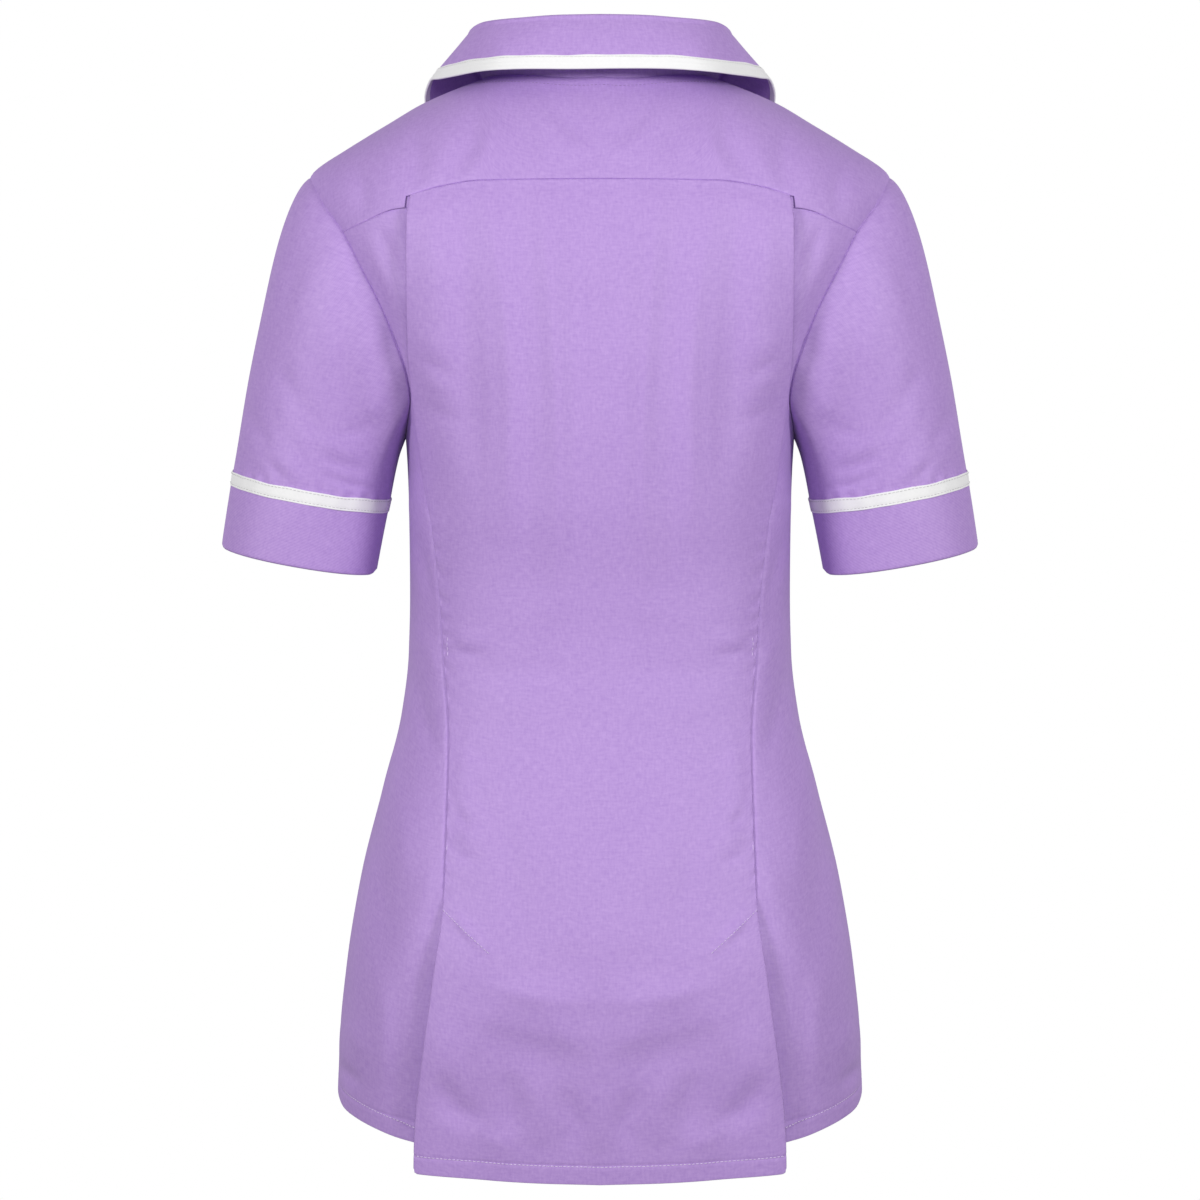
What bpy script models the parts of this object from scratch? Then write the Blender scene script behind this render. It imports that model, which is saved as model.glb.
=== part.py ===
"""Short-sleeved medical tunic, hollow as it is when worn, with every cut piece as its own closed solid.

The wearer faces +Y, so the back faces -Y and the wearer's left is -X.
The origin lies between the two side neck points, where the shoulders carry the tunic.
Sizes are in millimetres, and MM turns them into Blender's metres.
"""

import math
from bisect import bisect_right
from collections import namedtuple

import bmesh
import bpy
from mathutils import Vector

MM = 0.001
UP = Vector((0, 0, 1))
BACK, FRONT = -1, 1
SIDES = (("left", -1), ("right", 1))

# Driving sizes
CLOTH = 1.2  # wall of single cloth
DOUBLED = 1.8  # wall of the doubled cloth in the cuffs and collar
TRIM_WALL = 1.0  # wall of tape, binding and button band
SEAM_GAP = 0.4  # between two pieces at a seam
SHOULDER_GAP = 0.9  # between the yoke and the fronts, whose walls lean together
TRIM_GAP = 0.3  # between a trim and the cloth that it lies on
SECTION_ROUNDNESS = 2.4  # 2 would make the body's sections ellipses
SHOULDER_ROUNDNESS = 2.2  # the same for the slices over the shoulder
SHOULDER_BASE = -140  # height where the shoulder's rounding ends
NECK_HALF_WIDTH = 79
NECK_BACK_DEPTH = 62

# The body cloth from the shoulders down to the hem
Section = namedtuple("Section", "height half_width back_depth front_depth")
SECTIONS = (
    Section(40, 205, 108, 40),
    Section(-70, 205, 108, 56),
    Section(-108, 192, 110, 73),
    Section(-150, 172, 112, 95),
    Section(-190, 151, 112, 112),
    Section(-220, 137.5, 111, 119),
    Section(-238, 132.3, 110, 119),
    Section(-290, 129.6, 104, 110),
    Section(-350, 128.9, 93, 100),
    Section(-390, 129.8, 90, 98),
    Section(-430, 134.5, 93, 101),
    Section(-480, 147, 103, 106),
    Section(-540, 162, 116, 112),
    Section(-600, 171.8, 124, 116),
    Section(-640, 175.8, 123, 118),
    Section(-690, 177.8, 115, 118),
    Section(-740, 178.2, 107, 117),
)

# The line over the shoulders, seen from behind
RidgePoint = namedtuple("RidgePoint", "across height")
RIDGE = (
    RidgePoint(0, 18.5),
    RidgePoint(40, 12.5),
    RidgePoint(79, 0),
    RidgePoint(119, -16.3),
    RidgePoint(142.5, -30),
    RidgePoint(171.7, -47.6),
    RidgePoint(192.8, -61.2),
    RidgePoint(197.7, -66.5),
    RidgePoint(210, -76),
)

# The armhole, from the shoulder point to the underarm
ArmholePoint = namedtuple("ArmholePoint", "height back_across front_across")
ARMHOLE = (
    ArmholePoint(-66.5, 197.7, 197.7),
    ArmholePoint(-86, 187.6, 184),
    ArmholePoint(-108, 172.3, 167),
    ArmholePoint(-135, 158, 151),
    ArmholePoint(-158.6, 145.9, 139.5),
    ArmholePoint(-180, 137.4, 132),
    ArmholePoint(-203, 130.2, 127),
    ArmholePoint(-220, 128.3, 126.5),
    ArmholePoint(-238, 132.3, 132.3),
)
SHOULDER_POINT, YOKE_CORNER, UNDERARM = -66.5, -108, -238
YOKE_LEVELS = (SHOULDER_POINT, -69, -76, -88, YOKE_CORNER)
ARM_LEVELS = (YOKE_CORNER, -124, -142, -160, -178, -196, -214, -228, -235, UNDERARM)

# The long edges of the centre back: folds over the pleats, a seam between them
EdgePoint = namedtuple("EdgePoint", "height across")
CENTRE_EDGE = (
    EdgePoint(-85, 125.4),
    EdgePoint(-103, 127),
    EdgePoint(-140, 126.4),
    EdgePoint(-195, 123.7),
    EdgePoint(-249, 119.5),
    EdgePoint(-278, 117.4),
    EdgePoint(-305, 112.5),
    EdgePoint(-348, 107.5),
    EdgePoint(-394, 104.1),
    EdgePoint(-446, 100.4),
    EdgePoint(-500, 101.5),
    EdgePoint(-556, 103.4),
    EdgePoint(-617, 110.3),
    EdgePoint(-714, 120.6),
    EdgePoint(-740, 121),
)
# How the cloth layers lie along that edge
PleatLevel = namedtuple("PleatLevel", "height fold_lift underlay sink turned_under")
PLEATS = (
    PleatLevel(-80, 0, 25, 3.9, 22),
    PleatLevel(-100, 2.6, 25, 1.3, 22),
    PleatLevel(-190, 4.8, 25, 0, 22),
    PleatLevel(-238, 3, 25, 0.9, 20),
    PleatLevel(-256, 2, 25, 1.9, 18),
    PleatLevel(-268, 1.2, 0, 2.7, 14),
    PleatLevel(-277, 0.6, 0, 1.6, 10),
    PleatLevel(-290, 0, 0, 0, 8),
    PleatLevel(-545, 0, 0, 0, 8),
    PleatLevel(-558, 0.6, 0, 1.6, 10),
    PleatLevel(-567, 1.2, 0, 2.7, 14),
    PleatLevel(-582, 2.4, 25, 1.5, 20),
    PleatLevel(-640, 4, 25, 0, 24),
    PleatLevel(-740, 4.8, 25, 0, 24),
)
FOLD_RADIUS = 1.6
PLEAT_GAP = 1.2  # between the turned-under edge and the side back below it
LIFT_FADES_OVER = 45  # the centre back rises to its fold over this width
DRAPE_FADES_OVER = 25  # its soft folds end over this width before the edge
SINK_FADES_OVER = 24  # the side back comes up from under the fold over this width
BESIDE_FOLD = 3  # where the side back first shows

BACK_LEVELS = (-252, -268, -277, -290, -318, -346, -374, -402, -432, -464, -498, -530, -545, -558)
KICK_LEVELS = (-567, -582, -610, -640, -668, -694, -714)
FRONT_LEVELS = (-262, -290, -318, -346, -374, -402, -432, -464, -498, -530, -564, -600, -640, -672)

# Seams and hems as heights across the body
YOKE_SEAM_CENTRE = ((0, -77), (78, -77.4), (105, -80.6), (127.5, -86.3))
YOKE_SEAM_SIDE = ((122, -93.4), (135, -94.2), (160, -103), (173, YOKE_CORNER))
YOKE_STEP = 128.5  # where the seam steps down past the centre back's fold
BACK_ROWS_LEVEL_BY = 60  # from a seam or hem, where the back's rows of points have become level
FRONT_ROWS_LEVEL_BY = 170
CENTRE_HEM = ((0, -737), (60, -735.2), (121, -730.5))
SIDE_HEM = ((80, -724), (121, -713.5), (145, -705.5), (165, -697.5), (178.2, -690))
FRONT_HEM = ((0, -716), (60, -714.5), (121, -706), (150, -699), (178.2, -690))
NECK_COLUMNS = 5  # columns of points along each quarter of the neck
FRONT_NECK = ((0, -76), (18, -74.5), (40, -65), (58, -47), (70, -27), (76.5, -10), (79, 0))

# Soft upright folds that the back hangs in
DrapeFold = namedtuple("DrapeFold", "across top bottom half_width rise")
DRAPE_FOLDS = (
    DrapeFold(26, -105, -310, 13, 2.4),
    DrapeFold(62, -120, -285, 15, 1.5),
    DrapeFold(92, -150, -300, 12, 1.2),
    DrapeFold(44, -600, -735, 20, -1.4),
)

# Front closure: right over left
OVERLAP = 15
UNDER_LAP_SINK = 1.7  # the left front lies this much lower under the right one
LAP_ENDS, LAP_FADES_OVER = 29, 12
BUTTONS = 6
BUTTON_RADIUS = 7.5
BUTTON_THICKNESS = 3
BUTTON_SPARE = 0.3  # a flat button on a curved band stands this much further off
FIRST_BUTTON, LAST_BUTTON = -93, -610

# Sleeve: the ring under the tape's middle, and the way its cloth leaves the armhole
SLEEVE_CENTRE = Vector((196.8, 4, -279.2))
SLEEVE_AXIS = Vector((0.174, 0.122, -0.977)).normalized()
SLEEVE_HALF_WIDTH = 54.4
SLEEVE_HALF_DEPTH = 48
SLEEVE_ROWS = 8
CLOSER_AT_ENDS = 0.12  # how far its rows gather towards the armhole and the tape
TAPE_WIDTH = 9.5
CUFF_LENGTH = 48
CUFF_TAPER = 0.8
Leaving = namedtuple("Leaving", "across forward up reach arrival")
LEAVE_TOP = Leaving(0.86, 0, -0.5, 22, 120)
LEAVE_BACK = Leaving(0.86, -0.06, -0.5, 46, 80)
LEAVE_FRONT = Leaving(0.86, 0.06, -0.5, 46, 80)
LEAVE_UNDER = Leaving(0.3, 0, -0.95, 14, 18)

# Collar: the roll line and the outer edge of the leaf, from the centre back round to the front
CollarStation = namedtuple(
    "CollarStation",
    "turn roll_across roll_forward roll_height edge_across edge_forward edge_height",
)
COLLAR = (
    CollarStation(0, 0, -67, 36, 0, -83, -1.5),
    CollarStation(20, 27, -66, 35.7, 34, -83, -1.5),
    CollarStation(40, 54, -60, 34.8, 66, -77, -1.6),
    CollarStation(60, 77, -44, 34.8, 93, -52, -2),
    CollarStation(76, 86, -22, 32, 108, -24, -1),
    CollarStation(90, 88, 0, 27, 115, 0, 1),
    CollarStation(105, 86, 22, 16, 120, 24, -9),
    CollarStation(122, 76, 40, -1, 120, 52, -28),
    CollarStation(140, 60, 54, -25, 107, 70, -58),
    CollarStation(158, 36, 62, -47, 82, 82, -90),
    CollarStation(171, 14, 65, -58, 60, 88, -114),
    CollarStation(190, -10, 68, -68, 40, 92, -140),
)
COLLAR_LAST_TURN = 171
ROLL_RADIUS = 3
BREAK_BELOW_ROLL = 6  # from the roll down to the seam between leaf and stand
LEAF_BULGE = 3
COLLAR_STATIONS = 38
BINDING_WIDTH = 9
BINDING_STEP = 0.4  # the binding stands this much proud of the leaf on each face

Finish = namedtuple("Finish", "red green blue roughness")
LILAC = Finish(0.48, 0.31, 0.69, 0.85)
WHITE = Finish(0.88, 0.88, 0.88, 0.7)
BUTTON_LILAC = Finish(0.42, 0.27, 0.62, 0.35)


def smooth_line(pairs):
    """A function through (place, value) pairs: cubic between them, and never past their values."""
    pairs = sorted(pairs)
    places = [pair[0] for pair in pairs]
    values = [pair[1] for pair in pairs]
    steps = [
        (values[i + 1] - values[i]) / (places[i + 1] - places[i])
        for i in range(len(pairs) - 1)
    ]
    slopes = [steps[0]]
    for before, after in zip(steps, steps[1:]):
        turns = before * after <= 0
        slopes.append(0 if turns else 2 * before * after / (before + after))
    slopes.append(steps[-1])

    def value_at(place):
        i = min(max(bisect_right(places, place) - 1, 0), len(steps) - 1)
        width = places[i + 1] - places[i]
        t = min(max((place - places[i]) / width, 0), 1)
        rise = values[i + 1] - values[i]
        curl = t * (1 - t) * ((1 - t) * (slopes[i] * width - rise) - t * (slopes[i + 1] * width - rise))
        return values[i] + rise * t + curl

    return value_at


def straight_line(pairs):
    """A function through (place, value) pairs, straight between them."""
    pairs = sorted(pairs)
    places = [pair[0] for pair in pairs]

    def value_at(place):
        i = min(max(bisect_right(places, place) - 1, 0), len(pairs) - 2)
        (start, low), (end, high) = pairs[i], pairs[i + 1]
        return low + (high - low) * min(max((place - start) / (end - start), 0), 1)

    return value_at


def column(table, key, value, make=smooth_line):
    """The line of one named column of a table against another."""
    return make([(getattr(row, key), getattr(row, value)) for row in table])


half_width = column(SECTIONS, "height", "half_width")
body_depth = {
    BACK: column(SECTIONS, "height", "back_depth"),
    FRONT: column(SECTIONS, "height", "front_depth"),
}
ridge_height = column(RIDGE, "across", "height")
armhole_across = {
    BACK: column(ARMHOLE, "height", "back_across"),
    FRONT: column(ARMHOLE, "height", "front_across"),
}
centre_edge = column(CENTRE_EDGE, "height", "across")
fold_lift = column(PLEATS, "height", "fold_lift", straight_line)
underlay = column(PLEATS, "height", "underlay", straight_line)
sink = column(PLEATS, "height", "sink", straight_line)
turned_under = column(PLEATS, "height", "turned_under", straight_line)
COLLAR_LINES = [column(COLLAR, "turn", name) for name in CollarStation._fields[1:]]


def eased(share):
    """0 to 1 with level ends."""
    share = min(max(share, 0), 1)
    return share * share * (3 - 2 * share)


def drape(across, height):
    """How far the soft upright folds raise the back."""
    rise = 0
    for fold in DRAPE_FOLDS:
        along = (fold.top - height) / (fold.top - fold.bottom)
        if 0 < along < 1:
            bell = math.exp(-(((abs(across) - fold.across) / fold.half_width) ** 2))
            rise += fold.rise * bell * math.sin(math.pi * along) ** 0.8
    return rise


def cloth_forward(across, height, facing):
    """How far forward of the side seams the body cloth lies, on the back or the front."""
    sideways = min(abs(across) / half_width(height), 1)
    over_side = (1 - sideways**SECTION_ROUNDNESS) ** (1 / SECTION_ROUNDNESS)
    upwards = (height - SHOULDER_BASE) / (ridge_height(abs(across)) - SHOULDER_BASE)
    upwards = min(max(upwards, 0), 1)
    over_shoulder = (1 - upwards**SHOULDER_ROUNDNESS) ** (1 / SHOULDER_ROUNDNESS)
    return facing * body_depth[facing](height) * over_side * over_shoulder


def cloth_point(across, height, facing, lift=0):
    """A point on the body cloth's outer face, or lifted off it along its normal."""
    point = Vector((across, cloth_forward(across, height, facing), height))
    if not lift:
        return point
    step = 0.5
    reach = half_width(height) - 2
    x = min(max(across, -reach), reach)
    z = min(height, ridge_height(abs(x)) - 2)
    slope_x = cloth_forward(x + step, z, facing) - cloth_forward(x - step, z, facing)
    slope_z = cloth_forward(x, z + step, facing) - cloth_forward(x, z - step, facing)
    return point + facing * lift * Vector((-slope_x, 2 * step, -slope_z)).normalized()


def level_with_edges(level, across, top, bottom, top_line, bottom_line, fade, outwards=0):
    """A row's height: it follows the top and bottom lines near them, and is level between.

    At the armhole, where outwards is 1, every row under the first is level.
    """
    near_top = min(max(1 - (top - level) / (fade * (1 - outwards) + 0.01), 0), 1)
    near_bottom = min(max(1 - (level - bottom) / fade, 0), 1)
    return (
        level
        + near_top * (top_line(abs(across)) - top)
        + near_bottom * (bottom_line(abs(across)) - bottom)
    )


def make_material(name, finish):
    material = bpy.data.materials.new(name)
    material.use_nodes = True
    shader = material.node_tree.nodes["Principled BSDF"]
    colour = (finish.red, finish.green, finish.blue, 1)
    shader.inputs["Base Color"].default_value = colour
    shader.inputs["Roughness"].default_value = finish.roughness
    shader.inputs["Metallic"].default_value = 0
    material.diffuse_color = colour
    return material


def finish_object(name, mesh, material):
    """Links a mesh as a named, smooth-shaded object."""
    mesh.materials.append(material)
    mesh.shade_smooth()
    mesh.set_sharp_from_angle(angle=math.radians(40))
    thing = bpy.data.objects.new(name, mesh)
    TUNIC.objects.link(thing)
    return thing


def make_cloth(name, place, columns, rows, wall, material, closed=False, flipped=False):
    """A grid whose points place(column, row) puts on the outer face, given its wall inwards.

    A closed cloth is a tube, whose last column meets its first.
    """
    grid = bmesh.new()
    bmesh.ops.create_grid(grid, x_segments=columns, y_segments=rows, size=1)
    for vert in grid.verts:
        i = round((vert.co.x + 1) / 2 * columns)
        j = round((vert.co.y + 1) / 2 * rows)
        vert.co = place(i % columns if closed else i, j) * MM
    if closed:
        bmesh.ops.remove_doubles(grid, verts=grid.verts, dist=0.01 * MM)
    if flipped:
        bmesh.ops.reverse_faces(grid, faces=grid.faces)
    mesh = bpy.data.meshes.new(name)
    grid.to_mesh(mesh)
    grid.free()
    thing = finish_object(name, mesh, material)
    thickness = thing.modifiers.new("Wall", "SOLIDIFY")
    thickness.thickness = wall * MM
    thickness.offset = -1
    thickness.use_even_offset = True
    return thing


def moved_out(place, distance, columns, rows):
    """The same grid of points, each moved out along the surface's normal."""

    def placed(i, j):
        across = place(min(i + 1, columns), j) - place(max(i - 1, 0), j)
        along = place(i, min(j + 1, rows)) - place(i, max(j - 1, 0))
        return place(i, j) + across.cross(along).normalized() * distance

    return placed


# Back


def neck_across(number):
    """How far out the neck's cloth columns lie: evenly turned, from the centre to the side neck point."""
    return NECK_HALF_WIDTH * math.sin(math.radians(90 * number / NECK_COLUMNS))


def back_yoke(material):
    """From the neck and shoulder seams down to the yoke seam."""
    shoulder_shares = (0.16, 0.34, 0.505, 0.54, 0.69, 0.85, 1)  # a column each side of the step
    columns = 2 * (NECK_COLUMNS + len(shoulder_shares))
    top, bottom = YOKE_LEVELS[0], YOKE_LEVELS[-1]

    def top_height(across):
        if across > NECK_HALF_WIDTH - 0.01:
            return ridge_height(across)
        return back_neck_height(across) - SEAM_GAP / 2

    def seam_height(across):
        line = YOKE_SEAM_CENTRE if across < YOKE_STEP else YOKE_SEAM_SIDE
        return smooth_line(line)(across) + SEAM_GAP / 2

    def place(i, j):
        level = YOKE_LEVELS[len(YOKE_LEVELS) - 1 - j]
        half = i - columns / 2
        if abs(half) <= NECK_COLUMNS:
            across = neck_across(abs(half))
        else:
            edge = armhole_across[BACK](level) - SEAM_GAP / 2
            share = shoulder_shares[round(abs(half)) - NECK_COLUMNS - 1]
            across = NECK_HALF_WIDTH + (edge - NECK_HALF_WIDTH) * share
        high, low = top_height(across), seam_height(across)
        height = high + (low - high) * (top - level) / (top - bottom)
        if abs(half) == columns / 2 and bottom < level < top:
            height = level
        point = cloth_point(math.copysign(across, half), height, BACK)
        point.y = min(point.y, -SHOULDER_GAP / 2)
        return point

    make_cloth("back_yoke", place, columns, len(YOKE_LEVELS) - 1, CLOTH, material)


def lift_towards_fold(across, height):
    """How far the centre back has risen off the body towards its long edge's fold."""
    beside = centre_edge(height) - FOLD_RADIUS - across
    raised = fold_lift(height) * eased(1 - beside / LIFT_FADES_OVER)
    return raised + drape(across, height) * eased(beside / DRAPE_FADES_OVER)


def centre_back(material):
    """Between the long edges, which turn under: folds over the pleats, a seam between them."""
    levels = (-80, -90, -100) + ARM_LEVELS + BACK_LEVELS + KICK_LEVELS + (-733,)
    seam_line, hem_line = smooth_line(YOKE_SEAM_CENTRE), smooth_line(CENTRE_HEM)
    flat, bends = 12, 3
    columns = flat + 2 * (bends + 2)

    def path(share, height):
        """Across and lift at a column, from the centre out to the fold and back under it."""
        inner = centre_edge(height) - FOLD_RADIUS
        if share <= flat / 2:
            across = inner * share / (flat / 2)
            return across, lift_towards_fold(across, height)
        turned = share - flat / 2
        if turned <= bends + 1:
            angle = math.pi * turned / (bends + 1)
            drop = FOLD_RADIUS * (1 - math.cos(angle))
            return inner + FOLD_RADIUS * math.sin(angle), fold_lift(height) - drop
        across = inner - turned_under(height)
        return across, lift_towards_fold(across, height) - 2 * FOLD_RADIUS

    def place(i, j):
        half = i - columns / 2
        level = levels[len(levels) - 1 - j]
        height = level
        for _ in range(3):
            across, lift = path(abs(half), height)
            height = level_with_edges(
                level, across, levels[0], levels[-1], seam_line, hem_line, BACK_ROWS_LEVEL_BY
            )
        height -= SEAM_GAP if j == len(levels) - 1 else 0
        return cloth_point(math.copysign(across, half), height, BACK, lift)

    make_cloth("back_centre", place, columns, len(levels) - 1, CLOTH, material)


def side_back(name, side, material):
    """From under the centre back's fold out to the armhole and the side seam."""
    levels = ARM_LEVELS + BACK_LEVELS + KICK_LEVELS[:-1] + (-702,)
    seam_line, hem_line = smooth_line(YOKE_SEAM_SIDE), smooth_line(SIDE_HEM)
    wide = 7

    def line_across(i, height):
        """Column 0 is the hidden edge, column 1 lies beside the fold and the last at the side."""
        edge = centre_edge(height)
        if i <= 0:
            return edge + SEAM_GAP - underlay(height)
        if height >= UNDERARM:
            outer = armhole_across[BACK](height) - SEAM_GAP / 2
        else:
            outer = half_width(height)
        turns = [math.asin(min(x / half_width(height), 1)) for x in (edge + BESIDE_FOLD, outer)]
        turn = turns[0] + (turns[1] - turns[0]) * (i - 1) / (wide - 1)
        return half_width(height) * math.sin(turn)

    def place(i, j):
        i = i if side > 0 else wide - i
        level = levels[len(levels) - 1 - j]
        height = level
        for _ in range(4):
            across = line_across(i, height)
            outwards = max(i - 1, 0) / (wide - 1)
            height = level_with_edges(
                level, across, levels[0], levels[-1], seam_line, hem_line, BACK_ROWS_LEVEL_BY, outwards
            )
        height -= 1.5 * SEAM_GAP if j == len(levels) - 1 else 0
        beside = across - centre_edge(height) - BESIDE_FOLD
        lift = -sink(height) * eased(1 - beside / SINK_FADES_OVER)
        if beside < 0:
            layers = 2 * FOLD_RADIUS + PLEAT_GAP
            lift = min(lift, lift_towards_fold(across, height) - layers)
        point = cloth_point(side * across, height, BACK, lift)
        point.y = min(point.y, -SEAM_GAP / 2)
        return point

    make_cloth(name, place, wide, len(levels) - 1, CLOTH, material)


# Front


FRONT_ROWS = YOKE_LEVELS[:-1] + ARM_LEVELS + FRONT_LEVELS + (-702,)
LAP_COLUMNS = (-OVERLAP, 0, OVERLAP)  # the button band's edges and middle
OUTER_COLUMNS = 6
FRONT_COLUMNS = len(LAP_COLUMNS) - 1 + NECK_COLUMNS + OUTER_COLUMNS


def front_place(side):
    """Points of one front, from its edge past the centre line out to the armhole and side seam."""
    top, bottom = FRONT_ROWS[0], FRONT_ROWS[-1]
    neck_line, hem_line = smooth_line(FRONT_NECK), smooth_line(FRONT_HEM)

    def line_across(i, height):
        if i < len(LAP_COLUMNS):
            return LAP_COLUMNS[i]
        number = i - len(LAP_COLUMNS) + 1
        spread = half_width(height) / half_width(0)
        if number <= NECK_COLUMNS:
            return OVERLAP + (neck_across(number) - OVERLAP) * spread
        if height >= UNDERARM:
            outer = armhole_across[FRONT](height) - SEAM_GAP / 2
        else:
            outer = half_width(height)
        neck = OVERLAP + (NECK_HALF_WIDTH - OVERLAP) * spread
        turns = [math.asin(min(x / half_width(height), 1)) for x in (neck, outer)]
        turn = turns[0] + (turns[1] - turns[0]) * (number - NECK_COLUMNS) / OUTER_COLUMNS
        return half_width(height) * math.sin(turn)

    def top_line(across):
        return neck_line(across) if across < NECK_HALF_WIDTH - 0.01 else ridge_height(across)

    def place(i, j):
        i = FRONT_COLUMNS - i if side > 0 else i
        level = FRONT_ROWS[len(FRONT_ROWS) - 1 - j]
        height = level
        for _ in range(8):
            across = line_across(i, height)
            outwards = max(i - FRONT_COLUMNS + OUTER_COLUMNS, 0) / OUTER_COLUMNS
            height = level_with_edges(
                level, across, top, bottom, top_line, hem_line, FRONT_ROWS_LEVEL_BY, outwards
            )
        lift = 0
        if side < 0:
            lift = -UNDER_LAP_SINK * eased((LAP_ENDS - across) / LAP_FADES_OVER)
        at_neck = j == len(FRONT_ROWS) - 1 and across < NECK_HALF_WIDTH - 0.01
        height -= SEAM_GAP / 2 if at_neck else 0
        point = cloth_point(side * across, height, FRONT, lift)
        point.y = max(point.y, SHOULDER_GAP / 2 if height > YOKE_CORNER else SEAM_GAP / 2)
        return point

    return place


def front(name, side, material):
    make_cloth(name, front_place(side), FRONT_COLUMNS, len(FRONT_ROWS) - 1, CLOTH, material)


def button_band(material):
    """The strip down the centre of the right front, which carries the buttons: its points, moved out."""
    rows, columns = len(FRONT_ROWS) - 1, len(LAP_COLUMNS) - 1
    panel = moved_out(front_place(1), TRIM_GAP + TRIM_WALL, FRONT_COLUMNS, rows)

    def place(i, j):
        return panel(FRONT_COLUMNS - columns + i, j)

    make_cloth("button_band", place, columns, rows, TRIM_WALL, material)


def button(name, height, material):
    """A turned disc with a raised rim, lying on the band."""
    rim, dish = BUTTON_RADIUS, BUTTON_RADIUS * 0.62
    profile = (
        (0, BUTTON_THICKNESS * 0.6),
        (dish, BUTTON_THICKNESS * 0.6),
        (dish + 1.2, BUTTON_THICKNESS),
        (rim - 0.6, BUTTON_THICKNESS),
        (rim, BUTTON_THICKNESS * 0.6),
        (rim - 1, 0),
        (0, 0),
    )
    mesh = bpy.data.meshes.new(name)
    outline = bmesh.new()
    verts = [outline.verts.new((radius * MM, 0, up * MM)) for radius, up in profile]
    for first, second in zip(verts, verts[1:]):
        outline.edges.new((first, second))
    outline.to_mesh(mesh)
    outline.free()
    disc = finish_object(name, mesh, material)
    turning = disc.modifiers.new("Turning", "SCREW")
    turning.steps = turning.render_steps = 14
    turning.use_merge_vertices = True
    turning.merge_threshold = 0.00001
    seat = cloth_point(0, height, FRONT, 2 * TRIM_GAP + TRIM_WALL + BUTTON_SPARE)
    facing = (cloth_point(0, height, FRONT, 5) - cloth_point(0, height, FRONT)).normalized()
    disc.location = seat * MM
    disc.rotation_mode = "QUATERNION"
    disc.rotation_quaternion = facing.to_track_quat("Z", "Y")


# Sleeves


def armhole_loop(side):
    """The armhole's points from the shoulder point down the back and up the front, with their turns."""
    down = YOKE_LEVELS[:-1] + ARM_LEVELS
    halves = []
    for facing in (BACK, FRONT):
        points = []
        for level in down:
            across = armhole_across[facing](level)
            points.append(cloth_point(side * across, level, facing))
        lengths = [0]
        for first, second in zip(points, points[1:]):
            lengths.append(lengths[-1] + (second - first).length)
        halves.append([(point, math.pi * length / lengths[-1]) for point, length in zip(points, lengths)])
    behind, before = halves
    return behind + [(point, 2 * math.pi - turn) for point, turn in reversed(before[1:-1])]


def mixed(turn, name):
    """A named value of the leaving table at a turn: 0 is the top, a quarter the back, a half the underarm."""
    upright, sideways = math.cos(turn), math.sin(turn)
    end = LEAVE_TOP if upright > 0 else LEAVE_UNDER
    face = LEAVE_BACK if sideways > 0 else LEAVE_FRONT
    return getattr(end, name) * upright**2 + getattr(face, name) * sideways**2


def mirrored(vector, side):
    return Vector((side * vector.x, vector.y, vector.z))


def sleeve_ring(turn, along, side):
    """A point of the straight lower sleeve, along its axis from the tape's middle."""
    axis = mirrored(SLEEVE_AXIS, side)
    outwards = mirrored(Vector((-SLEEVE_AXIS.z, 0, SLEEVE_AXIS.x)).normalized(), side)
    rearwards = axis.cross(outwards) * side
    taper = CUFF_TAPER * along / CUFF_LENGTH
    return (
        mirrored(SLEEVE_CENTRE, side)
        + axis * along
        + outwards * (SLEEVE_HALF_WIDTH - taper) * math.cos(turn)
        + rearwards * (SLEEVE_HALF_DEPTH - taper) * math.sin(turn)
    )


def sleeve_point(loop, i, along, side):
    """A point of the sleeve, at a share of the way from the armhole to the seam under the tape."""
    start, turn = loop[i % len(loop)]
    direction = Vector((side * mixed(turn, "across"), mixed(turn, "forward"), mixed(turn, "up"))).normalized()
    end = sleeve_ring(turn, -SEAM_GAP / 2, side)
    start = start + direction * 1.5 * SEAM_GAP
    first = start + direction * mixed(turn, "reach")
    second = end - mirrored(SLEEVE_AXIS, side) * mixed(turn, "arrival")
    away = 1 - along
    return start * away**3 + first * 3 * away**2 * along + second * 3 * away * along**2 + end * along**3


def sleeve(name, side, material):
    loop = armhole_loop(side)

    def place(i, j):
        share = 1 - j / SLEEVE_ROWS
        along = share - CLOSER_AT_ENDS * math.sin(2 * math.pi * share)
        return sleeve_point(loop, i, along, side)

    make_cloth(name, place, len(loop), SLEEVE_ROWS, CLOTH, material, closed=True, flipped=side > 0)


def cuff(name, side, material):
    loop = armhole_loop(side)
    rows = 2

    def place(i, j):
        along = SEAM_GAP / 2 + (CUFF_LENGTH - SEAM_GAP / 2) * (1 - j / rows)
        return sleeve_ring(loop[i % len(loop)][1], along, side)

    make_cloth(name, place, len(loop), rows, DOUBLED, material, closed=True, flipped=side > 0)


def sleeve_tape(name, side, material):
    """The white tape over the seam between sleeve and cuff."""
    loop = armhole_loop(side)
    outwards = -side * (TRIM_GAP + TRIM_WALL)

    def ring(i, along):
        return sleeve_ring(loop[i % len(loop)][1], along, side)

    def place(i, j):
        along = TAPE_WIDTH * (0.5 - j)
        around = ring(i + 1, along) - ring(i - 1, along)
        down = mirrored(SLEEVE_AXIS, side)
        return ring(i, along) + down.cross(around).normalized() * outwards

    make_cloth(name, place, len(loop), 1, TRIM_WALL, material, closed=True, flipped=side > 0)


# Collar


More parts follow.
